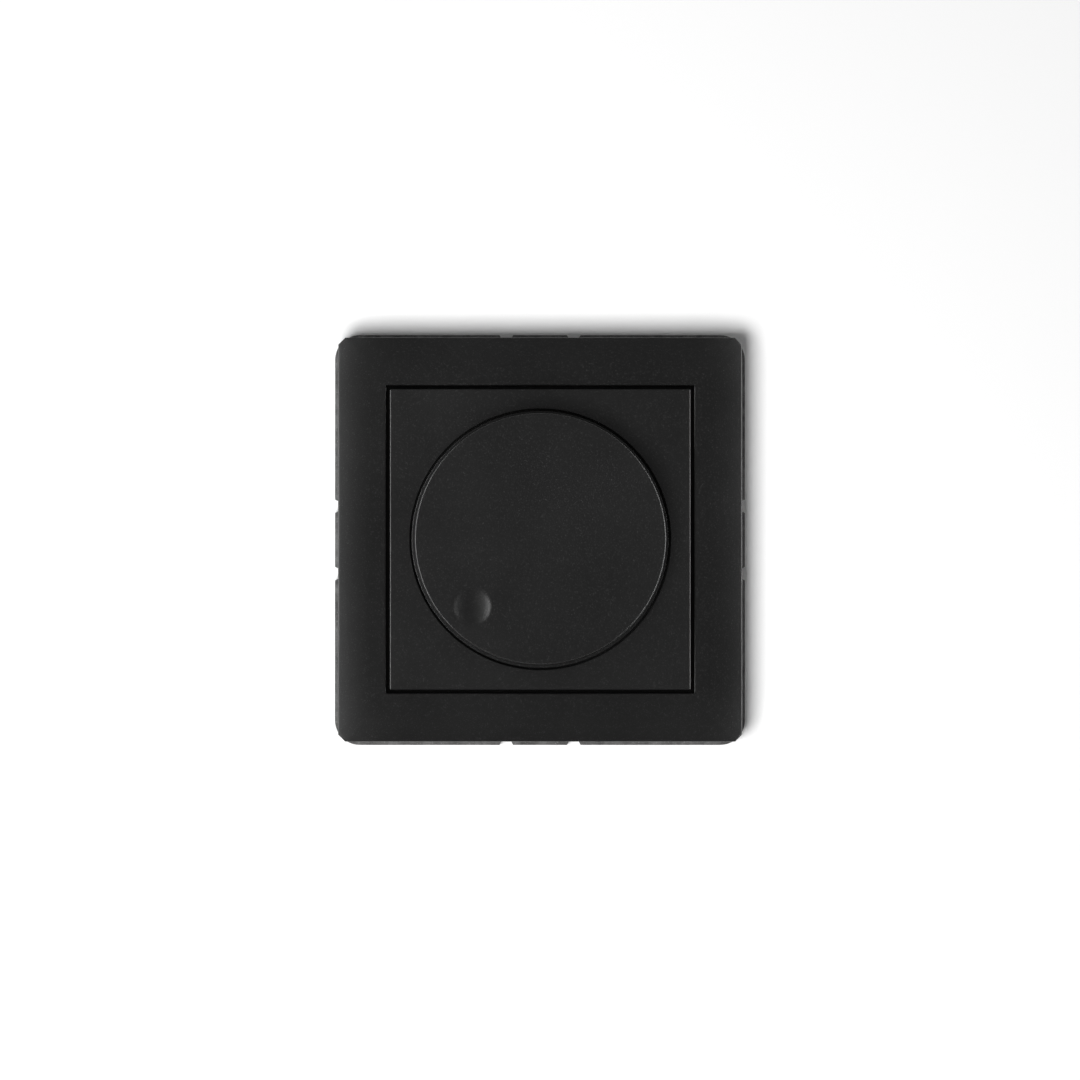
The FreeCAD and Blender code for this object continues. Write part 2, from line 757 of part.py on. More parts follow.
def make_switch_spring():
    bottom = switch_rear + switch_wall + spring_wire_radius + fit_gap
    top = shaft_rear - shaft_running_gap - plunger_thick - spring_wire_radius - fit_gap
    pitch = (top - bottom) / spring_turns
    path = Part.Wire(Part.makeHelix(pitch, top - bottom, spring_radius).Edges)
    corners = []
    for i in range(spring_wire_sides):
        angle = 2 * math.pi * (i + 0.5) / spring_wire_sides
        corners.append(V(spring_radius + spring_wire_radius * math.cos(angle), 0,
                         spring_wire_radius * math.sin(angle)))
    section = Part.makePolygon(corners + corners[:1])
    spring = path.makePipeShell([section], True, True)
    spring.translate(V(0, 0, bottom))
    return spring


# Support plate, casing and screws

def post_places():
    return [(x * post_x, y * post_y) for x in (-1, 1) for y in (-1, 1)]


def level_slot():
    """Slot on an arc about the dimmer's axis, at the right."""
    radius = box_screw_spacing / 2
    half = box_slot_width / 2
    band = ring(radius - half, radius + half, -spare, support_thick + spare)
    reach = 2 * radius
    a = math.radians(level_slot_angle)
    far_x = reach * math.cos(a)
    far_y = reach * math.sin(a)
    wedge = prism([(0, 0), (far_x, -far_y), (far_x, far_y)], -spare, support_thick + spare)
    ends = [disc(half, -spare, support_thick + spare, radius * math.cos(a), s * radius * math.sin(a))
            for s in (-1, 1)]
    return fused([band.common(wedge)] + ends)


def claw_ears():
    """Two ears bent down from the plate, with a hole each for the claw's pin."""
    z0 = claw_pivot_z - claw_ear_half
    ears = []
    for side in (-1, 1):
        inner = claw_width / 2 + claw_side_gap
        y = claw_y + side * (inner + claw_ear_thick / 2)
        ears.append(block(claw_pivot_x - claw_ear_half, claw_pivot_x + claw_ear_half,
                          y - claw_ear_thick / 2, y + claw_ear_thick / 2, z0, 0.2))
    pin = Part.makeCylinder(claw_pin_radius + fit_gap, 2 * claw_width,
                            V(claw_pivot_x, claw_y - claw_width, claw_pivot_z), y_axis)
    return [ear.cut(pin) for ear in ears]


def make_support_plate():
    plate = cut_slab(support_side, support_side, support_corner_cut, 0, support_thick)
    notch_in = support_side / 2 - gang_notch_depth
    a = gang_notch_width / 2
    notch = prism([(notch_in, -a), (support_side, -a - support_side / 2),
                   (support_side, a + support_side / 2), (notch_in, a)], -spare, support_thick + spare)
    tools = [disc(hat_radius + hat_gap, -spare, support_thick + spare)]
    for offset in (-gang_notch_offset, gang_notch_offset):
        moved = notch.copy()
        moved.translate(V(0, offset, 0))
        tools += four_ways(moved.common(slab(support_side, gang_notch_width + 2 * gang_notch_depth,
                                             -spare, support_thick + spare, support_side / 2 + 1.0, offset)))
    for y in (-1, 1):
        slot = slot_tool(box_slot_width, box_slot_length, -spare, support_thick + spare)
        slot.translate(V(0, y * box_screw_spacing / 2, 0))
        tools.append(slot)
    tools += [level_slot(), opposite(level_slot())]
    for x, y in post_places():
        tools.append(disc(cover_screw_radius + cover_screw_play, -spare, support_thick + spare, x, y))
    tools.append(disc(trimmer_radius + trimmer_play, -spare, support_thick + spare, trimmer_x, trimmer_y))
    claw_hole = disc(claw_screw_radius + claw_hole_play, -spare, support_thick + spare, claw_screw_x, claw_y)
    tools += [claw_hole, opposite(claw_hole)]
    plate = plate.cut(tools[0].multiFuse(tools[1:]))
    ears = claw_ears()
    return fused([plate] + ears + [opposite(ear) for ear in ears])


def casing_outline(inset, z0, z1):
    cut = casing_corner_cut - inset * (2 - math.sqrt(2))
    return cut_slab(casing_width - 2 * inset, casing_height - 2 * inset, cut, z0, z1)


def wire_window(x, z0, z1):
    """Way in for a wire through the casing's lower wall into a terminal."""
    return block(x - bar_width / 2, x + bar_width / 2, -casing_height / 2 - spare,
                 terminal_y - chamber_length / 2 + bite, z0, z1)


def make_casing():
    body = casing_outline(0, casing_rear, cover_rear)
    body = round_edges(body, casing_edge_radius, lambda x, y, z: near(z, casing_rear))
    body = body.cut(casing_outline(casing_wall, casing_floor, cover_rear + spare))
    inner_x = casing_width / 2 - casing_wall
    inner_y = casing_height / 2 - casing_wall
    added = [disc(post_radius, casing_floor - bite, cover_rear, x, y) for x, y in post_places()]
    for x in (-1, 1):
        for y in (-casing_side_rib, casing_side_rib):
            added.append(slab(board_rib + board_gap + bite, board_rib, casing_floor - bite, board_rear,
                              x * (inner_x - (board_rib + board_gap - bite) / 2), y))
        added.append(slab(board_rib, board_rib + board_gap + bite, casing_floor - bite, board_rear,
                          x * casing_top_rib, inner_y - (board_rib + board_gap - bite) / 2))
    body = fused([body] + added)
    tools = [disc(cover_screw_radius + fit_gap, cover_rear - cover_screw_length, cover_rear + spare, x, y)
             for x, y in post_places()]
    for x in terminal_xs:
        head_hole = terminal_head_radius + terminal_head_play
        tools.append(disc(head_hole, casing_rear - spare, casing_floor + spare, x, terminal_y))
        tools.append(wire_window(x, bar_front, cage_front - cage_end_wall))
    for i in range(vent_count):
        vent = slot_tool(vent_width, vent_length, casing_rear - spare, casing_floor + spare)
        vent.translate(V((i - (vent_count - 1) / 2) * vent_pitch, vent_y, 0))
        tools.append(vent)
    return body.cut(tools[0].multiFuse(tools[1:]))


def make_casing_cover():
    cover = casing_outline(0, cover_rear, 0)
    hat = disc(hat_radius, -bite, hat_top)
    hat = round_edges(hat, hat_edge_radius, lambda x, y, z: near(z, hat_top))
    parts = [cover, hat]
    parts += [disc(peg_radius, hat_top - bite, hat_top + peg_length, x) for x in (-peg_offset, peg_offset)]
    inner_x = casing_width / 2 - casing_wall - fit_gap
    for side in (-1, 1):
        parts.append(slab(cover_lug_thick, cover_lug_length, cover_rear - cover_lug_depth, cover_rear + bite,
                          side * (inner_x - cover_lug_thick / 2), 0))
    cover = fused(parts)
    tools = [disc(hat_radius - hat_wall, cover_rear - spare, pot_front)]
    tools.append(disc(bushing_radius + 3 * fit_gap, 0, hat_top + spare))
    tools.append(disc(trimmer_radius + trimmer_play, cover_rear - spare, spare, trimmer_x, trimmer_y))
    for x, y in post_places():
        tools.append(disc(cover_screw_radius + cover_screw_play, cover_rear - spare, spare, x, y))
    return cover.cut(tools[0].multiFuse(tools[1:]))


def make_cover_screws():
    screws = []
    bottom = support_thick - cover_screw_length
    top = support_thick + cover_screw_head
    head = disc(cover_screw_head_radius, support_thick, top)
    head = round_edges(head, cover_screw_edge, lambda x, y, z: near(z, top))
    head = head.cut(cross_recess(cover_screw_head_radius, cover_screw_recess, top, 1))
    shank = turned([(0, bottom), (0.4 * cover_screw_radius, bottom),
                    (cover_screw_radius, bottom + cover_screw_point),
                    (cover_screw_radius, support_thick), (0, support_thick)])
    screw = fused([head, shank])
    for x, y in post_places():
        placed = screw.copy()
        placed.translate(V(x, y, 0))
        screws.append(placed)
    return Part.makeCompound(screws)


# Circuit board and components

def make_circuit_board():
    inset = casing_wall + board_gap
    board = casing_outline(inset, board_rear, board_front)
    for x, y in post_places():
        board = board.cut(disc(post_radius + board_gap, board_rear - spare, board_front + spare, x, y))
    return board


def make_trimmer_body():
    body = slab(trimmer_side, trimmer_side, board_front, board_front + trimmer_height, trimmer_x, trimmer_y)
    return body.cut(disc(trimmer_stem_radius + shaft_running_gap, board_front + trimmer_floor,
                         board_front + trimmer_height + spare, trimmer_x, trimmer_y))


def make_trimmer_rotor():
    """Stem with a slotted head that is reached through the cover with a screwdriver."""
    seat = board_front + trimmer_height + shaft_running_gap
    foot = board_front + trimmer_floor + turn_gap
    top = -trimmer_sunk
    rotor = turned([(0, foot), (trimmer_stem_radius, foot), (trimmer_stem_radius, seat),
                    (trimmer_radius, seat), (trimmer_radius, top), (0, top)], trimmer_x, trimmer_y)
    return rotor.cut(slab(2 * trimmer_radius, trimmer_slot_width, top - trimmer_slot_depth, top + spare,
                          trimmer_x, trimmer_y))


def make_triac():
    """Flat power device under the heat spreader, with its three leads bent down to the board."""
    top = cover_rear - spreader_thick
    half = triac_width / 2
    body = block(-half, half, triac_start, triac_tab_start, top - triac_thick, top)
    tab = block(-half, half, triac_tab_start - bite, triac_end, top - triac_tab_thick, top)
    hole = triac_screw_radius + triac_screw_play
    tab = tab.cut(disc(hole, top - triac_thick, top + spare, 0, triac_screw_y))
    parts = [body, tab]
    lead_z = top - 0.6 * triac_thick
    half = triac_lead / 2
    bend = triac_start - triac_lead_reach
    for x in (-triac_lead_pitch, 0, triac_lead_pitch):
        parts.append(block(x - half, x + half, bend, triac_start + bite, lead_z - half, lead_z + half))
        parts.append(block(x - half, x + half, bend, bend + triac_lead, board_front, lead_z))
    return fused(parts)


def make_heat_spreader():
    """Bent sheet: flat against the cover, with one leg down beside the board's edge."""
    half = spreader_width / 2
    start = pot_radius + spreader_gap
    end = spreader_end
    flat = block(-half, half, start, end, cover_rear - spreader_thick, cover_rear)
    leg = block(-half, half, end - spreader_thick, end, cover_rear - spreader_leg, cover_rear)
    sheet = fused([flat, leg])
    hole = triac_screw_radius + fit_gap
    return sheet.cut(disc(hole, cover_rear - spreader_thick - spare, 0, 0, triac_screw_y))


def make_triac_screw():
    seat = cover_rear - spreader_thick - triac_tab_thick
    head = disc(triac_screw_head_radius, seat - triac_screw_head, seat)
    head = head.cut(cross_recess(triac_screw_head_radius, triac_screw_recess, seat - triac_screw_head, -1))
    screw = fused([head, disc(triac_screw_radius, seat, cover_rear)])
    screw.translate(V(0, triac_screw_y, 0))
    return screw


def make_choke_core():
    top = board_rear
    bottom = top - choke_height
    return turned([(0, bottom), (choke_radius, bottom), (choke_radius, bottom + choke_flange),
                   (choke_core_radius, bottom + choke_flange), (choke_core_radius, top - choke_flange),
                   (choke_radius, top - choke_flange), (choke_radius, top), (0, top)], choke_x, choke_y)


def make_choke_winding():
    """Layered coil between the core's flanges: one ripple for each row of wire."""
    inner = choke_core_radius + fit_gap
    outer = choke_radius - choke_winding_sunk
    z0 = board_rear - choke_height + choke_flange + fit_gap
    z1 = board_rear - choke_flange - fit_gap
    row = (z1 - z0) / choke_rows
    valley = outer - row / 3
    points = [(inner, z0)]
    for i in range(choke_rows):
        points += [(valley, z0 + i * row), (outer, z0 + (i + 1 / 3) * row), (outer, z0 + (i + 2 / 3) * row)]
    points += [(valley, z1), (inner, z1)]
    return turned(points, choke_x, choke_y)


def make_film_capacitor():
    bottom = board_rear - film_cap_height
    body = slab(film_cap_width, film_cap_thick, bottom, board_rear, film_cap_x, film_cap_y)
    return round_edges(body, film_cap_edge, lambda x, y, z: z < board_rear - 0.1)


def make_round_capacitor():
    bottom = board_rear - round_cap_height
    can = disc(round_cap_radius, bottom, board_rear, round_cap_x, round_cap_y)
    can = round_edges(can, round_cap_edge, lambda x, y, z: near(z, bottom))
    top = board_rear - 2 * round_cap_groove
    inner = round_cap_radius - round_cap_groove / 2
    groove = ring(inner, round_cap_radius + spare, top - round_cap_groove, top, round_cap_x, round_cap_y)
    return can.cut(groove)


def along_x(solid, x):
    """Turn a solid drawn up the z axis so that it runs along x, on the fuse's axis."""
    solid.rotate(origin, y_axis, 90)
    solid.translate(V(x, fuse_y, board_rear - fuse_axis_height))
    return solid


def make_fuse_tube():
    half = fuse_length / 2 - 2 * fuse_cap_wall
    return along_x(ring(fuse_radius - fuse_glass, fuse_radius, -half, half), 0)


def make_fuse_caps():
    caps = []
    outer = fuse_radius + fuse_cap_wall + fit_gap
    end = fuse_length / 2
    cap = disc(outer, end - fuse_cap_length, end)
    cap = cap.cut(disc(fuse_radius + fit_gap, end - fuse_cap_length - spare, end - fuse_cap_wall))
    for turn in (0, 180):
        placed = cap.copy()
        placed.rotate(origin, x_axis, turn)
        caps.append(along_x(placed, 0))
    return Part.makeCompound(caps)


def make_fuse_clips():
    clips = []
    grip = fuse_radius + fuse_cap_wall + 2 * fit_gap
    for side in (-1, 1):
        x = side * (fuse_length - fuse_cap_length) / 2
        width = fuse_cap_length - clip_sheet
        base = slab(width, 2 * (grip + clip_sheet), board_rear - clip_sheet, board_rear, x, fuse_y)
        tip = board_rear - fuse_axis_height - 0.6 * fuse_radius
        legs = [slab(width, clip_sheet, tip, board_rear, x, fuse_y + s * (grip + clip_sheet / 2))
                for s in (-1, 1)]
        clips.append(fused([base] + legs))
    return Part.makeCompound(clips)


# Terminals

def make_terminal_block():
    y_high = terminal_y + chamber_length / 2 + block_wall
    body = block(-block_half, block_half, block_low, y_high, block_rear, block_front)
    tools = []
    for x in terminal_xs:
        chamber_top = cage_front + cage_play
        tools.append(slab(chamber_width, chamber_length, block_rear - spare, chamber_top, x, terminal_y))
        half = bar_width / 2 + fit_gap
        tools.append(block(x - half, x + half, bar_end_y - bar_play, y_high + spare, bar_rear - fit_gap,
                           bar_front + fit_gap))
        tools.append(wire_window(x, bar_front, cage_front - cage_end_wall))
    return body.cut(tools[0].multiFuse(tools[1:]))


def make_terminal_bars():
    """Contact bars: each runs through its cage and bends up to the board."""
    y_bend = terminal_y + chamber_length / 2 + block_wall + bar_bend_gap
    bars = []
    for x in terminal_xs:
        half = bar_width / 2
        flat = block(x - half, x + half, bar_end_y, y_bend + bar_thick / 2, bar_rear, bar_front)
        leg = block(x - half, x + half, y_bend, y_bend + bar_thick / 2, bar_rear, board_rear)
        bars.append(fused([flat, leg]))
    return Part.makeCompound(bars)


def make_terminal_cage(x):
    cage = slab(cage_width, cage_length, cage_rear, cage_front, x, terminal_y)
    cage = round_edges(cage, cage_edge_radius,
                       lambda x_, y_, z_: near(y_, terminal_y) and near(abs(x_ - x), cage_width / 2))
    window = slab(cage_window, cage_length + 2 * spare,
                  cage_rear + cage_thread_wall, cage_front - cage_end_wall, x, terminal_y)
    bore = disc(terminal_screw_radius + shaft_running_gap, cage_rear - spare, cage_front - cage_end_wall,
                x, terminal_y)
    return cage.cut(window).cut(bore)


def make_terminal_screw(x):
    head = disc(terminal_head_radius, head_rear, head_front)
    head = round_edges(head, terminal_head_edge, lambda x_, y_, z_: near(z_, head_rear))
    head = head.cut(cross_recess(terminal_head_radius, terminal_recess, head_rear, -1))
    tip = bar_rear - shaft_running_gap
    shank = turned([(0, head_front), (terminal_screw_radius, head_front),
                    (terminal_screw_radius, tip - screw_point), (terminal_screw_radius - screw_point, tip),
                    (0, tip)])
    screw = fused([head, shank])
    screw.translate(V(x, terminal_y, 0))
    return screw


# Claws, drawn at the right; the left one is turned half round the dimmer's axis

def claw_blank(points):
    """Sheet outline in the (x, z) plane, given its width along y."""
    face = Part.Face(Part.makePolygon([V(x, 0, z) for x, z in points + points[:1]]))
    blank = face.extrude(V(0, claw_width, 0))
    blank.translate(V(0, claw_y - claw_width / 2, 0))
    return blank


def make_claw():
    inner = claw_inner_x
    outer = claw_inner_x + claw_thick
    tip = -claw_depth
    tooth_x = outer + claw_tooth
    leg = claw_blank([(inner, claw_pivot_z), (outer, claw_pivot_z), (outer, tip + claw_thick),
                      (tooth_x, tip + claw_tooth_high * claw_thick),
                      (tooth_x, tip + claw_tooth_low * claw_thick), (inner, tip)])
    root = claw_eye_radius - 2 * bite
    half = claw_foot_thick / 2
    foot = claw_blank([(root, -half), (claw_foot_reach, -half), (claw_foot_reach, half), (root, half)])
    across = claw_screw_reach / math.cos(math.radians(claw_foot_angle))
    hole = slab(claw_foot_slot_across, claw_foot_slot_along, -spare, spare, across, claw_y)
    hole = round_edges(hole, claw_screw_radius, lambda x, y, z: near(z, 0))
    foot = foot.cut(hole)
    foot.rotate(origin, y_axis, claw_foot_angle)
    foot.translate(V(claw_pivot_x, 0, claw_pivot_z))
    eye = Part.makeCylinder(claw_eye_radius, claw_width,
                            V(claw_pivot_x, claw_y - claw_width / 2, claw_pivot_z), y_axis)
    claw = fused([leg, foot, eye])
    pin_hole = Part.makeCylinder(claw_pin_radius + shaft_running_gap, claw_width + 2 * spare,
                                 V(claw_pivot_x, claw_y - claw_width / 2 - spare, claw_pivot_z), y_axis)
    half = claw_fork_gap / 2
    fork = block(inner - spare, tooth_x + spare, claw_y - half, claw_y + half, tip - spare,
                 claw_pivot_z - 2 * claw_eye_radius)
    notches = [claw_tooth_notch(side) for side in (-1, 1)]
    return claw.cut(pin_hole).cut(fork).cut(notches)


def claw_tooth_notch(side):
    """Small cut that gives each prong of the fork two teeth."""
    prong = (claw_width + claw_fork_gap) / 4
    outer = claw_inner_x + claw_thick + claw_tooth
    y = claw_y + side * prong
    mouth = outer + bite
    return prism([(mouth, y - claw_notch_half), (mouth, y + claw_notch_half), (outer - claw_notch_depth, y)],
                 -claw_depth - spare, -claw_depth + claw_thick + spare)


def make_claw_pins():
    half = claw_width / 2 + claw_side_gap + claw_ear_thick
    pin = Part.makeCylinder(claw_pin_radius, 2 * half, V(claw_pivot_x, claw_y - half, claw_pivot_z), y_axis)
    return Part.makeCompound([pin, opposite(pin)])


def make_claw_screw():
    top = support_thick + claw_screw_head
    head = disc(claw_screw_head_radius, support_thick, top)
    head = round_edges(head, claw_screw_edge, lambda x, y, z: near(z, top))
    head = head.cut(cross_recess(claw_screw_head_radius, claw_screw_recess, top, 1))
    bottom = support_thick - claw_screw_length
    shank = turned([(0, bottom), (claw_screw_radius - screw_point, bottom),
                    (claw_screw_radius, bottom + screw_point), (claw_screw_radius, support_thick),
                    (0, support_thick)])
    screw = fused([head, shank])
    screw.translate(V(claw_screw_x, claw_y, 0))
    return screw


# Saving

def save(name, shape):
    standing = shape.copy()
    standing.rotate(origin, x_axis, 90)
    if not standing.isValid():
        print("not a valid shape:", name)
    standing.exportStep(os.path.join("parts", name + ".step"))


def main():
    os.makedirs("parts", exist_ok=True)
    makers = {
        "front_frame": make_front_frame,
        "under_frame": make_under_frame,
        "centre_plate": make_centre_plate,
        "plate_nut": make_plate_nut,
        "knob": make_knob,
        "knob_clip": make_knob_clip,
        "shaft": make_shaft,
        "pot_bushing": make_pot_bushing,
        "pot_body": make_pot_body,
        "pot_rotor": make_pot_rotor,
        "pot_wiper": make_pot_wiper,
        "pot_track": make_pot_track,
        "pot_pins": make_pot_pins,
        "switch_body": make_switch_body,
        "switch_plunger": make_switch_plunger,
        "switch_spring": make_switch_spring,
        "support_plate": make_support_plate,
        "casing": make_casing,
        "casing_cover": make_casing_cover,
        "cover_screws": make_cover_screws,
        "circuit_board": make_circuit_board,
        "trimmer_body": make_trimmer_body,
        "trimmer_rotor": make_trimmer_rotor,
        "triac": make_triac,
        "triac_screw": make_triac_screw,
        "heat_spreader": make_heat_spreader,
        "choke_core": make_choke_core,
        "choke_winding": make_choke_winding,
        "film_capacitor": make_film_capacitor,
        "electrolytic_capacitor": make_round_capacitor,
        "fuse_tube": make_fuse_tube,
        "fuse_caps": make_fuse_caps,
        "fuse_clips": make_fuse_clips,
        "terminal_block": make_terminal_block,
        "terminal_bars": make_terminal_bars,
        "claw_pins": make_claw_pins,
    }
    for name, maker in makers.items():
        save(name, maker())
    for number, x in enumerate(terminal_xs, 1):
        save(f"terminal_cage_{number}", make_terminal_cage(x))
        save(f"terminal_screw_{number}", make_terminal_screw(x))
    claw = make_claw()
    screw = make_claw_screw()
    save("claw_right", claw)
    save("claw_left", opposite(claw))
    save("claw_screw_right", screw)
    save("claw_screw_left", opposite(screw))


main()
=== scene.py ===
import json
import math

import bmesh
import bpy
from mathutils import Matrix, Vector

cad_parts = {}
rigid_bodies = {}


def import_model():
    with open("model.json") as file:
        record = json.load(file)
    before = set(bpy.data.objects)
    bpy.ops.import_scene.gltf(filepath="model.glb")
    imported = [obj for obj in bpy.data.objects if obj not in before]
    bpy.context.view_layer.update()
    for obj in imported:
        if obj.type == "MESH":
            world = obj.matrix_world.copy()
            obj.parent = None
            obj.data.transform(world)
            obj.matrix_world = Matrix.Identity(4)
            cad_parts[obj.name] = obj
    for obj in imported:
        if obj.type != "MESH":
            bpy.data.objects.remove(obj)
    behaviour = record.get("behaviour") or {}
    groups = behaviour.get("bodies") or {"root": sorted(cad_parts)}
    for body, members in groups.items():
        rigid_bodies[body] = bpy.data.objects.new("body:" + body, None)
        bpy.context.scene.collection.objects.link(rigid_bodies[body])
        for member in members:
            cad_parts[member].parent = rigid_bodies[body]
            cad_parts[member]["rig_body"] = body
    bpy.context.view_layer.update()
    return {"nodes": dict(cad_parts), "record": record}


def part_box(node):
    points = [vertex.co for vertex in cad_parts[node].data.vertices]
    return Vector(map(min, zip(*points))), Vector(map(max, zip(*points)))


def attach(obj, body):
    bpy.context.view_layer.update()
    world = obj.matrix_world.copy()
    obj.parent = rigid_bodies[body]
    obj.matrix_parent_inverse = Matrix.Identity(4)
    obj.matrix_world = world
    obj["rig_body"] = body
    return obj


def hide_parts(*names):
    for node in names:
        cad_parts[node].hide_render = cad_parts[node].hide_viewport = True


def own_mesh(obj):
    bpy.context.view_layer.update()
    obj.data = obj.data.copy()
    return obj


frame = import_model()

# Flush rotary dimmer on a white wall. The wall is the plane y = 0, the room is at -y and up is +z.
mm = 0.001
nodes = frame["nodes"]
body_of_node = {name: node["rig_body"] for name, node in nodes.items()}
slot_of_node = {part["node"]: part["material_slot"] for part in frame["record"]["subparts"]}

# Places (x, z) in mm that the added pieces share with the solids
claw_screw_places = {"claw_screw_right": (25.9, 7.5), "claw_screw_left": (-25.9, -7.5)}
terminal_screw_places = {"terminal_screw_1": (-9.0, -18.5), "terminal_screw_2": (0.0, -18.5),
                         "terminal_screw_3": (9.0, -18.5)}
cover_screw_places = [(x, z) for x in (-17.2, 17.2) for z in (-17.2, 17.2)]


# ---- shader groups

def link(tree, a, b):
    tree.links.new(a, b)


def shader_group(name, inputs, outputs):
    """Empty shader group with named float inputs and named outputs."""
    tree = bpy.data.node_groups.new(name, "ShaderNodeTree")
    for title, value in inputs.items():
        socket = tree.interface.new_socket(title, in_out="INPUT", socket_type="NodeSocketFloat")
        socket.default_value = value
    for title in outputs:
        tree.interface.new_socket(title, in_out="OUTPUT", socket_type="NodeSocketFloat")
    return tree, tree.nodes.new("NodeGroupInput"), tree.nodes.new("NodeGroupOutput")


def noise(tree, scale, detail=2.0, rough=0.5, vector=None):
    """Noise on Object coordinates, or on a vector given for it."""
    node = tree.nodes.new("ShaderNodeTexNoise")
    node.inputs["Detail"].default_value = detail
    node.inputs["Roughness"].default_value = rough
    if vector is None:
        vector = tree.nodes.new("ShaderNodeTexCoord").outputs["Object"]
    link(tree, vector, node.inputs["Vector"])
    if isinstance(scale, (int, float)):
        node.inputs["Scale"].default_value = scale
    else:
        link(tree, scale, node.inputs["Scale"])
    return node.outputs["Fac"]


def mapped(tree, value, low, high, to_low=0.0, to_high=1.0):
    """The value's range from low to high, spread over another range."""
    node = tree.nodes.new("ShaderNodeMapRange")
    for title, given in (("From Min", low), ("From Max", high), ("To Min", to_low), ("To Max", to_high)):
        if isinstance(given, (int, float)):
            node.inputs[title].default_value = given
        else:
            link(tree, given, node.inputs[title])
    link(tree, value, node.inputs["Value"])
    return node.outputs["Result"]


def math_node(tree, operation, *values):
    """One sum in a shader or geometry tree; each value is a number or a socket."""
    node = tree.nodes.new("ShaderNodeMath")
    node.operation = operation
    for socket, given in zip(node.inputs, values):
        if isinstance(given, (int, float)):
            socket.default_value = given
        else:
            link(tree, given, socket)
    return node.outputs[0]


def blend_of(tree, first, second, share):
    """The first value's share and the rest from the second."""
    return math_node(tree, "ADD", math_node(tree, "MULTIPLY", first, share),
                     math_node(tree, "MULTIPLY", second, 1.0 - share))


# The part of a noise's range that a cloud runs over
cloud_span = (0.3, 0.7)


def make_spark_grain():
    """Spark-eroded mould texture: fine even grain with a few brighter flecks."""
    tree, given, put = shader_group("spark_grain", {"Grain Scale": 5200.0, "Cloud Scale": 60.0,
                                                    "Rough Low": 0.45, "Rough High": 0.6},
                                    ("Height", "Fleck", "Roughness", "Cloud"))
    coarse_to_fine, fleck_span, rough_span = 0.31, (0.58, 0.76), (0.1, 0.9)
    fine = noise(tree, given.outputs["Grain Scale"], 3.0, 0.6)
    coarse = noise(tree, math_node(tree, "MULTIPLY", given.outputs["Grain Scale"], coarse_to_fine))
    link(tree, blend_of(tree, fine, coarse, 0.65), put.inputs["Height"])
    link(tree, mapped(tree, fine, *fleck_span), put.inputs["Fleck"])
    cloud = mapped(tree, noise(tree, given.outputs["Cloud Scale"], 3.0, 0.55), *cloud_span)
    link(tree, cloud, put.inputs["Cloud"])
    mixed = blend_of(tree, cloud, fine, 0.7)
    link(tree, mapped(tree, mixed, *rough_span, given.outputs["Rough Low"], given.outputs["Rough High"]),
         put.inputs["Roughness"])
    return tree


def make_plating():
    """Plated or rolled metal: soft clouds, fine drawn lines along one way and small pits."""
    tree, given, put = shader_group("plating", {"Cloud Scale": 180.0, "Line Scale": 900.0,
                                                "Rough Low": 0.25, "Rough High": 0.45},
                                    ("Height", "Cloud", "Roughness"))
    along_line, pits_to_lines, rough_span = 0.06, 3.0, (0.15, 0.85)
    coordinates = tree.nodes.new("ShaderNodeTexCoord").outputs["Object"]
    stretch = tree.nodes.new("ShaderNodeMapping")
    stretch.inputs["Scale"].default_value = (1.0, 1.0, along_line)
    link(tree, coordinates, stretch.inputs["Vector"])
    lines = noise(tree, given.outputs["Line Scale"], 4.0, 0.6, stretch.outputs["Vector"])
    cloud = mapped(tree, noise(tree, given.outputs["Cloud Scale"], 4.0, 0.6), *cloud_span)
    pits = noise(tree, math_node(tree, "MULTIPLY", given.outputs["Line Scale"], pits_to_lines))
    mixed = blend_of(tree, cloud, lines, 0.6)
    link(tree, mapped(tree, mixed, *rough_span, given.outputs["Rough Low"], given.outputs["Rough High"]),
         put.inputs["Roughness"])
    link(tree, cloud, put.inputs["Cloud"])
    link(tree, blend_of(tree, lines, pits, 0.7), put.inputs["Height"])
    return tree


spark_grain = make_spark_grain()
plating = make_plating()


# ---- materials

def started(name):
    """New material with its Principled shader; returns the material, its tree and the shader."""
    material = bpy.data.materials.new(name)
    material.use_nodes = True
    return material, material.node_tree, material.node_tree.nodes["Principled BSDF"]


def grouped(tree, group, values):
    """Node that runs a shader group with these values."""
    node = tree.nodes.new("ShaderNodeGroup")
    node.node_tree = group
    for title, value in values.items():
        node.inputs[title].default_value = value
    return node


def bumped(tree, shader, height, depth):
    """Relief from a height between 0 and 1, this deep."""
    bump = tree.nodes.new("ShaderNodeBump")
    bump.inputs["Distance"].default_value = depth
    bump.inputs["Strength"].default_value = 1.0
    link(tree, height, bump.inputs["Height"])
    link(tree, bump.outputs["Normal"], shader.inputs["Normal"])


def colour_mix(tree, mask, first, second):
    """Where the mask is 0 the first colour, where it is 1 the second."""
    node = tree.nodes.new("ShaderNodeMix")
    node.data_type = "RGBA"
    colour_a, colour_b, colour_out = 6, 7, 2
    for socket, colour in ((node.inputs[colour_a], first), (node.inputs[colour_b], second)):
        if isinstance(colour, tuple):
            socket.default_value = (*colour, 1.0)
        else:
            link(tree, colour, socket)
    link(tree, mask, node.inputs[0])
    return node.outputs[colour_out]


def moulded(name, dark, light, fleck, rough, grain, depth, clouds):
    """Moulded plastic: base colour drifts between dark and light, with flecks of a third colour."""
    material, tree, shader = started(name)
    film = grouped(tree, spark_grain, {"Grain Scale": grain, "Cloud Scale": clouds,
                                       "Rough Low": rough[0], "Rough High": rough[1]})
    drift = colour_mix(tree, film.outputs["Cloud"], dark, light)
    link(tree, colour_mix(tree, film.outputs["Fleck"], drift, fleck), shader.inputs["Base Color"])
    link(tree, film.outputs["Roughness"], shader.inputs["Roughness"])
    bumped(tree, shader, film.outputs["Height"], depth * mm)
    return material


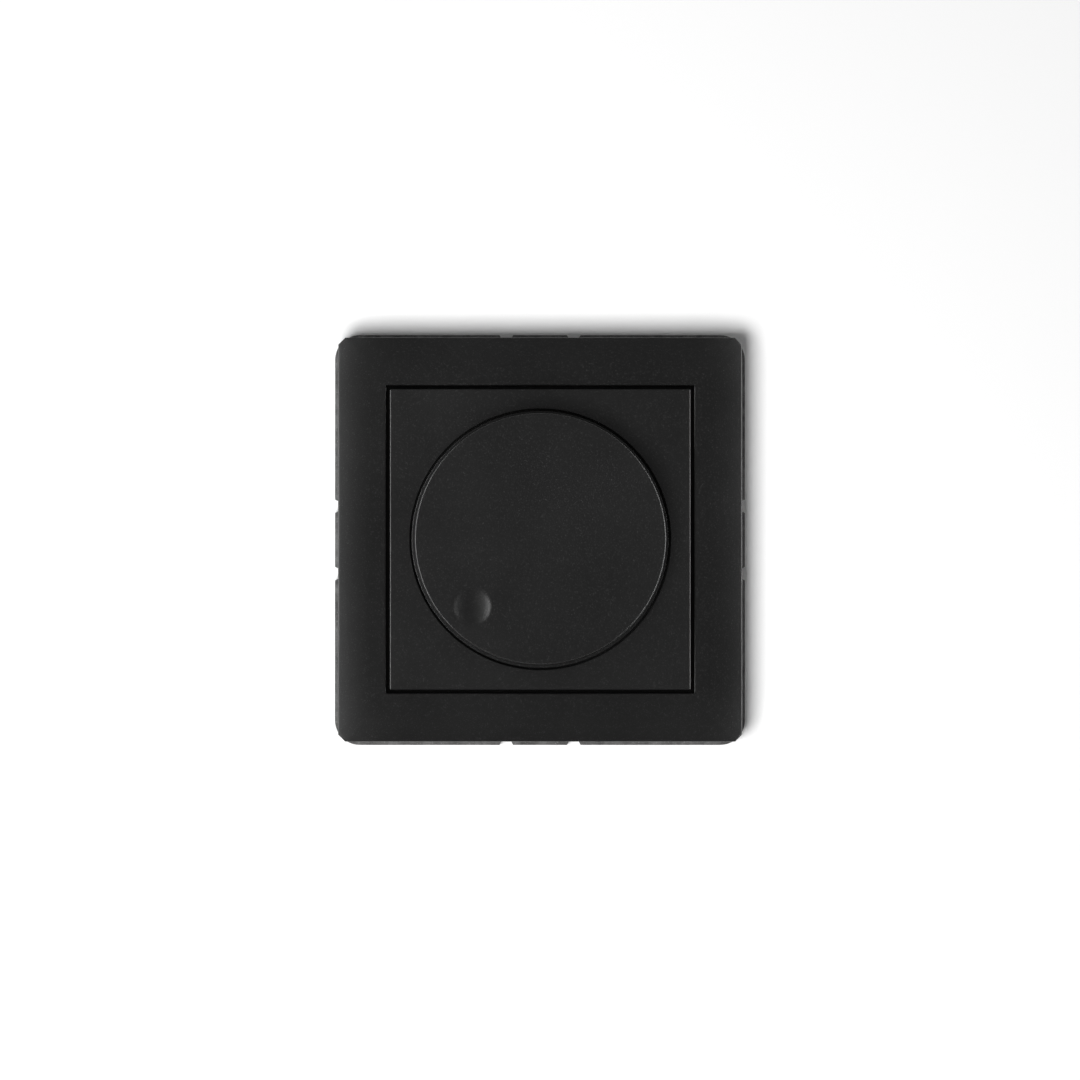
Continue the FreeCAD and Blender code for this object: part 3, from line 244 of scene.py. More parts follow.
def plated(name, dark, light, rough, lines, depth, clouds):
    """Bare or plated metal with clouded colour and drawn lines."""
    material, tree, shader = started(name)
    shader.inputs["Metallic"].default_value = 1.0
    film = grouped(tree, plating, {"Cloud Scale": clouds, "Line Scale": lines,
                                   "Rough Low": rough[0], "Rough High": rough[1]})
    link(tree, colour_mix(tree, film.outputs["Cloud"], dark, light), shader.inputs["Base Color"])
    link(tree, film.outputs["Roughness"], shader.inputs["Roughness"])
    bumped(tree, shader, film.outputs["Height"], depth * mm)
    return material


def make_glass():
    """Clear glass of the fuse, with a little haze."""
    material, tree, shader = started("fuse_glass")
    haze_scale, haze_span, rough = 900.0, (0.3, 0.8), (0.02, 0.08)
    shader.inputs["Base Color"].default_value = (0.93, 0.96, 0.94, 1.0)
    shader.inputs["Transmission Weight"].default_value = 1.0
    shader.inputs["IOR"].default_value = 1.47
    link(tree, mapped(tree, noise(tree, haze_scale), *haze_span, *rough), shader.inputs["Roughness"])
    return material


# Matt black of the front pieces, all one plastic, each with a dark and a light tone; the tones differ from
# piece to piece to match each piece's brightness under this light, so the frame's darker tones are painted
# shade
black_tones_and_painted_shade = {
    "frame_plastic": (0.0033, 0.0043),
    "knob_plastic": (0.0055, 0.0069),
    "plate_plastic": (0.0054, 0.0072),
}

# Dark, light and fleck colour, least and most roughness, grain a metre, its depth in mm, clouds a metre
moulded_finishes = {
    "grey_plastic": ((0.052, 0.052, 0.051), (0.135, 0.135, 0.134), (0.22, 0.22, 0.218),
                     (0.38, 0.64), 2600.0, 0.03, 560.0),
    "casing_plastic": ((0.05, 0.051, 0.053), (0.06, 0.061, 0.063), (0.075, 0.076, 0.078),
                       (0.42, 0.6), 3200.0, 0.02, 60.0),
    "dark_resin": ((0.02, 0.02, 0.022), (0.03, 0.03, 0.032), (0.05, 0.05, 0.052),
                   (0.35, 0.5), 4000.0, 0.01, 200.0),
    "ivory_plastic": ((0.6, 0.56, 0.46), (0.66, 0.63, 0.54), (0.68, 0.65, 0.57),
                      (0.35, 0.5), 2800.0, 0.012, 150.0),
    "blue_plastic": ((0.025, 0.1, 0.38), (0.035, 0.13, 0.45), (0.05, 0.16, 0.48),
                     (0.22, 0.34), 3000.0, 0.008, 220.0),
    "capacitor_can": ((0.012, 0.012, 0.035), (0.018, 0.018, 0.05), (0.03, 0.03, 0.07),
                      (0.18, 0.3), 1500.0, 0.01, 250.0),
    "board": ((0.03, 0.14, 0.055), (0.045, 0.19, 0.08), (0.08, 0.25, 0.12),
              (0.2, 0.35), 1800.0, 0.01, 420.0),
    "carbon": ((0.014, 0.014, 0.014), (0.022, 0.022, 0.022), (0.04, 0.04, 0.04),
               (0.5, 0.7), 6000.0, 0.006, 300.0),
    "ferrite": ((0.042, 0.04, 0.038), (0.06, 0.057, 0.053), (0.1, 0.097, 0.09),
                (0.5, 0.75), 2200.0, 0.03, 400.0),
}

# Dark and light colour, least and most roughness, drawn lines a metre, their depth in mm, clouds a metre
plated_finishes = {
    "zinc_steel": ((0.52, 0.53, 0.55), (0.64, 0.65, 0.66), (0.26, 0.42), 1100.0, 0.01, 180.0),
    "screw_steel": ((0.6, 0.57, 0.46), (0.7, 0.68, 0.62), (0.2, 0.34), 1600.0, 0.006, 500.0),
    "spring_steel": ((0.4, 0.4, 0.41), (0.5, 0.5, 0.51), (0.2, 0.3), 2200.0, 0.004, 400.0),
    "sheet_aluminium": ((0.7, 0.7, 0.71), (0.78, 0.78, 0.79), (0.28, 0.42), 1400.0, 0.012, 120.0),
    "plated_brass": ((0.64, 0.6, 0.5), (0.74, 0.71, 0.63), (0.18, 0.32), 1500.0, 0.006, 300.0),
    "bronze": ((0.56, 0.36, 0.17), (0.68, 0.48, 0.27), (0.22, 0.36), 1800.0, 0.006, 260.0),
    "copper_wire": ((0.52, 0.19, 0.07), (0.66, 0.28, 0.12), (0.18, 0.28), 2400.0, 0.003, 350.0),
}


def make_materials():
    """Every finish by name; the frame's black is also the one for the record's slot of black plastic."""
    made_finishes = {}
    black_fleck, black_rough, black_grain, black_depth, black_clouds = 0.04, (0.37, 0.45), 4300.0, 0.01, 45.0
    for title, (dark, light) in black_tones_and_painted_shade.items():
        made_finishes[title] = moulded(title, (dark,) * 3, (light,) * 3, (black_fleck,) * 3, black_rough,
                                       black_grain, black_depth, black_clouds)
    made_finishes["black_plastic"] = made_finishes["frame_plastic"]
    for title, values in moulded_finishes.items():
        made_finishes[title] = moulded(title, *values)
    for title, values in plated_finishes.items():
        made_finishes[title] = plated(title, *values)
    made_finishes["fuse_glass"] = make_glass()
    return made_finishes


materials = make_materials()
own_finish = {"knob": "knob_plastic", "centre_plate": "plate_plastic"}


def finish_of(node):
    """A node's own finish, or else that of its slot in the record."""
    return materials[own_finish.get(node, slot_of_node[node])]


def dress(obj, node):
    """Give a piece the finish of the CAD node that it stands for."""
    obj.data.materials.clear()
    obj.data.materials.append(finish_of(node))
    return obj


for name, node in nodes.items():
    node.data.materials.clear()
    node.data.materials.append(finish_of(name))


# ---- geometry groups

def geometry_group(name, inputs):
    """Empty geometry group; returns the tree, its ends and the socket identifier of each named input."""
    tree = bpy.data.node_groups.new(name, "GeometryNodeTree")
    tree.interface.new_socket("Geometry", in_out="OUTPUT", socket_type="NodeSocketGeometry")
    identifiers = {}
    for title, value in inputs.items():
        kind = "NodeSocketInt" if isinstance(value, int) else "NodeSocketFloat"
        socket = tree.interface.new_socket(title, in_out="INPUT", socket_type=kind)
        socket.default_value = value
        identifiers[title] = socket.identifier
    socket = tree.interface.new_socket("Material", in_out="INPUT", socket_type="NodeSocketMaterial")
    identifiers["Material"] = socket.identifier
    return tree, tree.nodes.new("NodeGroupInput"), tree.nodes.new("NodeGroupOutput"), identifiers


def end_of_group(tree, given, put, geometry):
    """Every group ends in Realize Instances and Set Material."""
    real = tree.nodes.new("GeometryNodeRealizeInstances")
    link(tree, geometry, real.inputs["Geometry"])
    paint = tree.nodes.new("GeometryNodeSetMaterial")
    link(tree, real.outputs["Geometry"], paint.inputs["Geometry"])
    link(tree, given.outputs["Material"], paint.inputs["Material"])
    link(tree, paint.outputs["Geometry"], put.inputs["Geometry"])


def placed_by(tree, geometry, x, y, z):
    """Set every point's place from three values."""
    place = tree.nodes.new("ShaderNodeCombineXYZ")
    for title, value in (("X", x), ("Y", y), ("Z", z)):
        link(tree, value, place.inputs[title])
    node = tree.nodes.new("GeometryNodeSetPosition")
    link(tree, geometry, node.inputs["Geometry"])
    link(tree, place.outputs["Vector"], node.inputs["Position"])
    return node.outputs["Geometry"]


def make_thread():
    """Threaded shank from y = 0 to its length, crests at the outer radius and the groove cut inwards."""
    # Share of a turn that lies flat at crest and root; rows this close to an end close it on the axis
    flat, cap = 0.12, 0.0001
    tree, given, put, names = geometry_group("thread", {
        "Length": 10 * mm, "Crest": 1.5 * mm, "Root": 1.2 * mm, "Pitch": 0.6 * mm, "Point": 1.1 * mm,
        "Around": 29, "Rows": 200})
    value = given.outputs
    grid = tree.nodes.new("GeometryNodeMeshGrid")
    grid.inputs["Size X"].default_value = 1.0
    grid.inputs["Size Y"].default_value = 1.0
    link(tree, value["Around"], grid.inputs["Vertices X"])
    link(tree, value["Rows"], grid.inputs["Vertices Y"])
    split = tree.nodes.new("ShaderNodeSeparateXYZ")
    link(tree, tree.nodes.new("GeometryNodeInputPosition").outputs["Position"], split.inputs["Vector"])
    round_share = math_node(tree, "ADD", split.outputs["X"], 0.5)
    angle = math_node(tree, "MULTIPLY", round_share, 2 * math.pi)
    along_share = math_node(tree, "ADD", split.outputs["Y"], 0.5)
    along = math_node(tree, "MULTIPLY", along_share, value["Length"])
    turn = math_node(tree, "ADD", math_node(tree, "DIVIDE", along, value["Pitch"]), round_share)
    saw = math_node(tree, "MULTIPLY", math_node(tree, "FRACT", turn), 2.0)
    ridge = math_node(tree, "ABSOLUTE", math_node(tree, "SUBTRACT", saw, 1.0))
    radius = mapped(tree, ridge, flat, 1.0 - flat, value["Root"], value["Crest"])
    end_radius = math_node(tree, "ADD", value["Point"], math_node(tree, "SUBTRACT", value["Length"], along))
    radius = math_node(tree, "MINIMUM", radius, end_radius)
    inside = math_node(tree, "MULTIPLY", math_node(tree, "GREATER_THAN", along_share, cap),
                       math_node(tree, "LESS_THAN", along_share, 1.0 - cap))
    radius = math_node(tree, "MULTIPLY", radius, inside)
    geometry = placed_by(tree, grid.outputs["Mesh"],
                         math_node(tree, "MULTIPLY", radius, math_node(tree, "COSINE", angle)), along,
                         math_node(tree, "MULTIPLY", radius, math_node(tree, "SINE", angle)))
    merge = tree.nodes.new("GeometryNodeMergeByDistance")
    merge.inputs["Distance"].default_value = 0.0001 * mm
    link(tree, geometry, merge.inputs["Geometry"])
    flip = tree.nodes.new("GeometryNodeFlipFaces")
    link(tree, merge.outputs["Geometry"], flip.inputs["Mesh"])
    smooth = tree.nodes.new("GeometryNodeSetShadeSmooth")
    link(tree, flip.outputs["Mesh"], smooth.inputs["Geometry"])
    end_of_group(tree, given, put, smooth.outputs["Geometry"])
    return tree, names


def make_coil():
    """Round wire wound up the y axis from y = 0, with the first and last part of a turn lying level."""
    tree, given, put, names = geometry_group("coil", {
        "Turns": 4.0, "Radius": 2.3 * mm, "Height": 3 * mm, "Wire Radius": 0.22 * mm, "Level": 0.3,
        "Points": 160, "Sides": 10})
    value = given.outputs
    line = tree.nodes.new("GeometryNodeCurvePrimitiveLine")
    points = tree.nodes.new("GeometryNodeResampleCurve")
    link(tree, line.outputs["Curve"], points.inputs["Curve"])
    link(tree, value["Points"], points.inputs["Count"])
    factor = tree.nodes.new("GeometryNodeSplineParameter").outputs["Factor"]
    turn = math_node(tree, "MULTIPLY", factor, value["Turns"])
    angle = math_node(tree, "MULTIPLY", turn, 2 * math.pi)
    last = math_node(tree, "SUBTRACT", value["Turns"], value["Level"])
    rise = mapped(tree, turn, value["Level"], last, 0.0, value["Height"])
    across = math_node(tree, "MULTIPLY", value["Radius"], math_node(tree, "COSINE", angle))
    upwards = math_node(tree, "MULTIPLY", value["Radius"], math_node(tree, "SINE", angle))
    curve = placed_by(tree, points.outputs["Curve"], across, rise, upwards)
    section = tree.nodes.new("GeometryNodeCurvePrimitiveCircle")
    link(tree, value["Sides"], section.inputs["Resolution"])
    link(tree, value["Wire Radius"], section.inputs["Radius"])
    wire = tree.nodes.new("GeometryNodeCurveToMesh")
    wire.inputs["Fill Caps"].default_value = True
    link(tree, curve, wire.inputs["Curve"])
    link(tree, section.outputs["Curve"], wire.inputs["Profile Curve"])
    smooth = tree.nodes.new("GeometryNodeSetShadeSmooth")
    link(tree, wire.outputs["Mesh"], smooth.inputs["Geometry"])
    end_of_group(tree, given, put, smooth.outputs["Geometry"])
    return tree, names


thread = make_thread()
coil = make_coil()


# ---- pieces

def add(name, data):
    """New object with this mesh, lamp or camera, at the origin of the scene."""
    obj = bpy.data.objects.new(name, data)
    bpy.context.scene.collection.objects.link(obj)
    return obj


def flattened(obj):
    """Turn what the modifiers make into the object's plain mesh."""
    bpy.context.view_layer.update()
    mesh = bpy.data.meshes.new_from_object(obj.evaluated_get(bpy.context.evaluated_depsgraph_get()))
    obj.modifiers.clear()
    obj.data = mesh
    return obj


def grown(group, slot, **values):
    """Mesh that a geometry group makes with these values, in the row frame at the origin."""
    tree, names = group
    obj = add("grown", bpy.data.meshes.new("grown"))
    modifier = obj.modifiers.new("group", "NODES")
    modifier.node_group = tree
    for title, value in values.items():
        modifier[names[title.replace("_", " ")]] = value
    modifier[names["Material"]] = materials[slot]
    mesh = flattened(obj).data
    bpy.data.objects.remove(obj)
    return mesh


def merged(node):
    """The CAD node's mesh with its loose triangles joined and its flat faces made whole."""
    same_place, same_plane = 0.0005 * mm, math.radians(0.5)
    bm = bmesh.new()
    bm.from_mesh(nodes[node].data)
    bmesh.ops.remove_doubles(bm, verts=bm.verts, dist=same_place)
    bmesh.ops.dissolve_degenerate(bm, dist=same_place, edges=bm.edges)
    bmesh.ops.dissolve_limit(bm, angle_limit=same_plane, verts=bm.verts, edges=bm.edges)
    return bm


def made(bm, name):
    """New object from what has been built in bm."""
    mesh = bpy.data.meshes.new(name)
    bm.to_mesh(mesh)
    bm.free()
    return add(name, mesh)


def broken_edges(obj, width):
    """Round the edges that turn by more than the angle, and let the flat faces rule the shading."""
    bevel = obj.modifiers.new("edges", "BEVEL")
    bevel.width = width
    bevel.segments = 2
    bevel.limit_method = "ANGLE"
    bevel.angle_limit = math.radians(35.0)
    bevel.use_clamp_overlap = True
    return smoothed(flattened(obj))


def weighted_edges(obj, width, segments):
    """Round the edges that carry a bevel weight, the heaviest by the full width."""
    bevel = obj.modifiers.new("edges", "BEVEL")
    bevel.width = width
    bevel.segments = segments
    bevel.limit_method = "WEIGHT"
    return flattened(obj)


def smoothed(obj):
    """Smooth shading that large flat faces rule; edges sharper than the angle stay sharp."""
    obj.data.shade_smooth()
    obj.data.set_sharp_from_angle(angle=math.radians(40.0))
    weighted = obj.modifiers.new("normals", "WEIGHTED_NORMAL")
    weighted.weight = 100
    weighted.keep_sharp = True
    return flattened(obj)


def stands_for(obj, *replaced):
    """Give the piece the finish and the body of the CAD node that it stands for."""
    dress(obj, replaced[0])
    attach(obj, body_of_node[replaced[0]])
    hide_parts(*replaced)
    return obj


def softened(node, width):
    """The CAD piece with its edges broken."""
    return stands_for(broken_edges(made(merged(node), node + "_moulded"), width), node)


def threaded(node, places, seat, way, tip, crest, root, pitch, point):
    """Screws: the head is the CAD's, the shank is threaded from seat to tip, the way 1 or -1 along y."""
    head_edge, points_round, rows_a_turn = 0.08 * mm, 29, 8
    bm = merged(node)
    bmesh.ops.bisect_plane(bm, geom=bm.verts[:] + bm.edges[:] + bm.faces[:], plane_co=(0, seat, 0),
                           plane_no=(0, way, 0), clear_outer=True)
    bmesh.ops.holes_fill(bm, edges=[e for e in bm.edges if e.is_boundary])
    bmesh.ops.recalc_face_normals(bm, faces=bm.faces)
    head = broken_edges(made(bm, node + "_cut"), head_edge)
    length = abs(tip - seat)
    shank = grown(thread, slot_of_node[node], Length=length, Crest=crest, Root=root, Pitch=pitch,
                  Point=point, Around=points_round, Rows=int(rows_a_turn * length / pitch))
    whole = bmesh.new()
    whole.from_mesh(head.data)
    for x, z in places:
        turned = shank.copy()
        turned.transform(Matrix.Translation((x * mm, seat, z * mm))
                         @ Matrix.Rotation(0 if way > 0 else math.pi, 4, "X"))
        whole.from_mesh(turned)
        bpy.data.meshes.remove(turned)
    whole.to_mesh(head.data)
    whole.free()
    return stands_for(head, node)


def wound(node, turns, wire, level, core=None):
    """Coil of round wire, on a core if it has one, in the place of a CAD node that stands up the y axis."""
    wire_sides, points_a_turn, core_sides = 10, 40, 48
    low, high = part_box(node)
    radius = (high[0] - low[0]) / 2 - wire
    height = high[1] - low[1] - 2 * wire
    mesh = grown(coil, slot_of_node[node], Turns=turns, Radius=radius, Height=height, Wire_Radius=wire,
                 Level=level, Points=int(points_a_turn * turns), Sides=wire_sides)
    mesh.transform(Matrix.Translation(((low[0] + high[0]) / 2, low[1] + wire, (low[2] + high[2]) / 2)))
    bm = bmesh.new()
    bm.from_mesh(mesh)
    if core:
        middle = Matrix.Translation([(a + b) / 2 for a, b in zip(low, high)])
        bmesh.ops.create_cone(bm, cap_ends=True, segments=core_sides, radius1=core, radius2=core,
                              depth=high[1] - low[1], matrix=middle @ Matrix.Rotation(math.pi / 2, 4, "X"))
    bpy.data.meshes.remove(mesh)
    obj = made(bm, node + "_coil")
    obj.data.shade_smooth()
    return stands_for(obj, node)


def without_skin(node, is_skin):
    """The CAD piece without the faces that a finer skin takes over."""
    bm = merged(node)
    bm.normal_update()
    bmesh.ops.delete(bm, geom=[face for face in bm.faces if is_skin(face)], context="FACES")
    return bm


def with_rest(skin, node, is_skin):
    """The skin joined to what is left of the CAD piece."""
    whole = without_skin(node, is_skin)
    whole.from_mesh(skin.data)
    whole.to_mesh(skin.data)
    whole.free()
    return stands_for(smoothed(skin), node)


def on_square(half, angle):
    """Where the ray at this angle leaves a square of this half width."""
    far = half / max(abs(math.cos(angle)), abs(math.sin(angle)))
    return far * math.cos(angle), far * math.sin(angle)


def from_axis(point):
    """Distance from the knob's axis and height above the wall, both in mm."""
    return math.hypot(point.x, point.z) / mm, -point.y / mm


def ringed(bm, rings, closing=None):
    """Quads between rings of (x, z, height) points in mm, from the outermost to the innermost."""
    made_rings = [[bm.verts.new((x * mm, -height * mm, z * mm)) for x, z, height in ring] for ring in rings]
    for outer, inner in zip(made_rings, made_rings[1:]):
        for k, point in enumerate(outer):
            following = (k + 1) % len(outer)
            bm.faces.new((point, outer[following], inner[following], inner[k]))
    if closing:
        last = made_rings[-1]
        middle = bm.verts.new((closing[0] * mm, -closing[2] * mm, closing[1] * mm))
        for k, point in enumerate(last):
            bm.faces.new((point, last[(k + 1) % len(last)], middle))
    return made_rings


def weighted_rings(bm, shares):
    """Bevel weights for the edges along rings, given as (ring, weight); returns the layer."""
    weight = bm.edges.layers.float.new("bevel_weight_edge")
    for ring, share in shares:
        for k, point in enumerate(ring):
            bm.edges.get((point, ring[(k + 1) % len(ring)]))[weight] = share
    return weight


def arc(middle, height, radius, start, end, steps):
    """Points of (distance from the axis, height) on an arc, angles in degrees from outwards to the front."""
    angles = [math.radians(start + (end - start) * i / steps) for i in range(steps + 1)]
    return [(middle + radius * math.cos(a), height + radius * math.sin(a)) for a in angles]


def dimple_sink(distance):
    """Depth of the fingertip dimple: a ball's cap that runs out into the face with a soft rim."""
    rim, depth, soft = 3.95, 1.14, 0.16
    ball = (rim ** 2 + depth ** 2) / (2 * depth)
    cap = math.sqrt(max(ball ** 2 - distance ** 2, 0.0)) - (ball - depth)
    return (cap + math.sqrt(cap ** 2 + soft ** 2)) / 2


# Angles of the points round the knob and the centre plate
around = 256
round_angles = [2 * math.pi * k / around for k in range(around)]


def make_knob():
    """Turned outside with a dimple; each point of the rim is joined to the dimple's middle by a ray."""
    # Radius of the face, of its rounded rim, height of the front; then the foot's radius, heights and edge
    face, rim, front = 25.75, 0.3, 16.9
    foot, foot_front, foot_rear, foot_edge = 26.8, 9.2, 8.4, 0.16
    # How much wider the wall is at the foot than at the face
    draft = 0.25
    # The dimple's middle, its reach with the soft rim and the rings across it
    middle, reach, steps = Vector((-14.142, -14.142)), 5.3, 36
    # The CAD's faces outside this radius or above this height give way to the skin
    skin_radius, skin_height = 26.0, 15.2
    profile = [(foot, foot_rear)] + arc(foot - foot_edge, foot_front - foot_edge, foot_edge, 0, 90, 4)
    profile += [(face + rim + draft, foot_front)] + arc(face, front - rim, rim, 0, 90, 8)
    rings = [[(r * math.cos(a), r * math.sin(a), height) for a in round_angles] for r, height in profile]
    rays = [Vector((face * math.cos(a), face * math.sin(a))) - middle for a in round_angles]
    # Two rings on the flat face, at these shares of the way from the dimple to the rim
    for share in (0.985, 0.6):
        rings.append([(*(middle + ray.normalized() * (reach + (ray.length - reach) * share)), front)
                      for ray in rays])
    for i in range(steps, 0, -1):
        distance = reach * i / steps
        sink = dimple_sink(distance) if i < steps else 0.0
        rings.append([(*(middle + ray.normalized() * distance), front - sink) for ray in rays])

    def is_skin(face_):
        points = [from_axis(v.co) for v in face_.verts]
        outside = all(r > skin_radius for r, height in points)
        rear = face_.normal.y > 0.9
        return all(height > skin_height for r, height in points) or (outside and not rear)

    bm = without_skin("knob", is_skin)
    ringed(bm, rings, (*middle, front - dimple_sink(0.0)))
    obj = made(bm, "knob_moulded")
    return stands_for(smoothed(obj), "knob")


def make_centre_plate():
    """Square plate with a round well; its front edges are rounded."""
    # Half width, radius of the well, heights of front, foot and the well's floor, and the edge's width
    half, well, front, foot, floor, edge = 31.35, 27.2, 9.4, 4.2, 6.8, 0.3
    # How near a CAD face has to lie to the skin to give way to it
    near, near_well = 0.01, 0.2
    square = [on_square(half, a) for a in round_angles]
    circle = [(well * math.cos(a), well * math.sin(a)) for a in round_angles]
    bm = bmesh.new()
    rings = ringed(bm, [[(x, z, foot) for x, z in square], [(x, z, front) for x, z in square],
                        [(x, z, front) for x, z in circle], [(x, z, floor) for x, z in circle]])
    weight = weighted_rings(bm, ((rings[1], 1.0), (rings[2], 0.5)))
    for k in range(around // 8, around, around // 4):
        bm.edges.get((rings[0][k], rings[1][k]))[weight] = 1.0
    skin = weighted_edges(made(bm, "centre_plate_moulded"), edge * mm, 6)

    def is_skin(face_):
        points = [from_axis(v.co) for v in face_.verts]
        upright = abs(face_.normal.y) < 0.5
        on_side = all(max(abs(v.co.x), abs(v.co.z)) > (half - edge - near) * mm for v in face_.verts)
        in_well = all(abs(r - well) < near_well for r, height in points)
        in_front = all(height > front - edge - near for r, height in points)
        return in_front or (upright and (on_side or in_well))

    return with_rest(skin, "centre_plate", is_skin)


def make_front_frame():
    """Square frame whose strips fall towards the wall in an arc, with crisp outer edges and corner cuts."""
    # Half widths of the outside and the opening, heights of top, foot and ledge
    half, opening, top, foot, ledge = 42.15, 32.1, 9.2, 3.0, 4.2
    # Corner cuts at the foot and, a step higher, on the part that shows
    seat_cut, cut, step = 1.8, 1.45, 0.5
    # Corner radius and width of the band that falls, its angle at the outer edge, the rings across the strip
    turn, fall, slope, steps = 10.0, 6.9, 15.0, 20
    ball = fall / math.sin(math.radians(slope))
    inner_edge, outer_edge = 0.3, 0.2
    # How near a CAD face has to lie to the skin to give way to it
    near, near_top = 0.01, 0.7

    def height(x, z):
        across, along = (max(abs(value) - half + turn, 0.0) for value in (x, z))
        reach = max(math.hypot(across, along) - turn + fall, 0.0)
        return top - ball + math.sqrt(ball ** 2 - reach ** 2)

    def outline(a, corner_cut):
        c, s = abs(math.cos(a)), abs(math.sin(a))
        far = min(half / max(c, s), (2 * half - corner_cut) / (c + s))
        return far * math.cos(a), far * math.sin(a)

    # Even steps round a quarter, without those beside the corner; the cuts' ends get points of their own
    parts, corner = 64, 32
    quarter = [90.0 * k / parts for k in range(parts) if k == corner or abs(k - corner) > 1]
    for corner_cut in (seat_cut, cut):
        end = math.degrees(math.atan((half - corner_cut) / half))
        quarter += [end, 90.0 - end]
    angles = [math.radians(a + turned) for turned in (0, 90, 180, 270) for a in sorted(quarter)]
    inner = [on_square(opening, a) for a in angles]
    outer = [outline(a, cut) for a in angles]
    rings = [[(*outline(a, seat_cut), foot) for a in angles], [(x, z, foot + step) for x, z in outer]]
    for i in range(steps, -1, -1):
        ring = [(u + (x - u) * i / steps, w + (z - w) * i / steps) for (u, w), (x, z) in zip(inner, outer)]
        rings.append([(x, z, height(x, z)) for x, z in ring])
    rings.append([(x, z, ledge) for x, z in inner])
    bm = bmesh.new()
    made_rings = ringed(bm, rings)
    weighted_rings(bm, ((made_rings[2], outer_edge / inner_edge), (made_rings[-2], 1.0)))
    skin = weighted_edges(made(bm, "front_frame_moulded"), inner_edge * mm, 5)

    def is_skin(face_):
        places = [(abs(v.co.x) / mm, abs(v.co.z) / mm, -v.co.y / mm) for v in face_.verts]
        on_top = all(level > height(x, z) - near_top for x, z, level in places)
        on_outside = all(max(x, z) > half - near or x + z > 2 * half - seat_cut - near
                         for x, z, level in places)
        in_opening = all(abs(max(x, z) - opening) < near and level > ledge - near for x, z, level in places)
        return on_top or (abs(face_.normal.y) < 0.5 and (on_outside or in_opening))

    return with_rest(skin, "front_frame", is_skin)


make_knob()
make_centre_plate()
make_front_frame()

# Widths of the broken edges in mm
softened_edges = {"under_frame": 0.12, "casing": 0.15, "casing_cover": 0.15, "support_plate": 0.1,
                  "claw_left": 0.1, "claw_right": 0.1, "terminal_block": 0.12, "heat_spreader": 0.12}
for name, width in softened_edges.items():
    softened(name, width * mm)

# Where the shanks start: of the screws from the front, and of the terminal screws from the rear
front_seat, rear_seat = -1.2 * mm, 23.6 * mm
for name, place in claw_screw_places.items():
    threaded(name, [place], front_seat, 1, tip=12.8 * mm, crest=1.5 * mm, root=1.2 * mm, pitch=0.6 * mm,
             point=1.1 * mm)
threaded("cover_screws", cover_screw_places, front_seat, 1, tip=9.8 * mm, crest=1.25 * mm, root=0.95 * mm,
         pitch=0.8 * mm, point=0.5 * mm)
for name, place in terminal_screw_places.items():
    threaded(name, [place], rear_seat, -1, tip=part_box(name)[0][1], crest=1.75 * mm, root=1.42 * mm,
             pitch=0.7 * mm, point=1.35 * mm)

# The spring's coil, with a mesh of its own
spring = wound("switch_spring", turns=4.0, wire=0.22 * mm, level=0.35)
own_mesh(spring)
wound("choke_winding", turns=9.0, wire=0.44 * mm, level=0.25, core=5.3 * mm)


# ---- wall, light and camera

def make_wall():
    """White wall, cut out square with cut corners behind the under-frame."""
    half, hole, hole_cut, behind_plane = 1.2, 42.0 * mm, 3.2 * mm, 0.05 * mm
    steps = 64
    bm = bmesh.new()
    inner = []
    outer = []
    for i in range(steps):
        angle = 2 * math.pi * i / steps
        c, s = math.cos(angle), math.sin(angle)
        far = half / max(abs(c), abs(s))
        near = min(hole / max(abs(c), abs(s)), (2 * hole - hole_cut) / (abs(c) + abs(s)))
        inner.append(bm.verts.new((near * c, behind_plane, near * s)))
        outer.append(bm.verts.new((far * c, behind_plane, far * s)))
    for i in range(steps):
        j = (i + 1) % steps
        bm.faces.new((inner[i], outer[i], outer[j], inner[j]))
    wall = made(bm, "wall")
    wall.data.materials.append(make_wall_paint())


def make_wall_paint():
    """White paint that is clear from behind, so that the mechanism shows."""
    material = bpy.data.materials.new("wall_paint")
    material.use_nodes = True
    tree = material.node_tree
    tree.nodes.clear()
    paint = tree.nodes.new("ShaderNodeBsdfDiffuse")
    paint.inputs["Color"].default_value = (0.86, 0.86, 0.86, 1.0)
    clear = tree.nodes.new("ShaderNodeBsdfTransparent")
    behind = tree.nodes.new("ShaderNodeNewGeometry").outputs["Backfacing"]
    mix = tree.nodes.new("ShaderNodeMixShader")
    link(tree, behind, mix.inputs[0])
    link(tree, paint.outputs[0], mix.inputs[1])
    link(tree, clear.outputs[0], mix.inputs[2])
    out = tree.nodes.new("ShaderNodeOutputMaterial")
    link(tree, mix.outputs[0], out.inputs["Surface"])
    return material


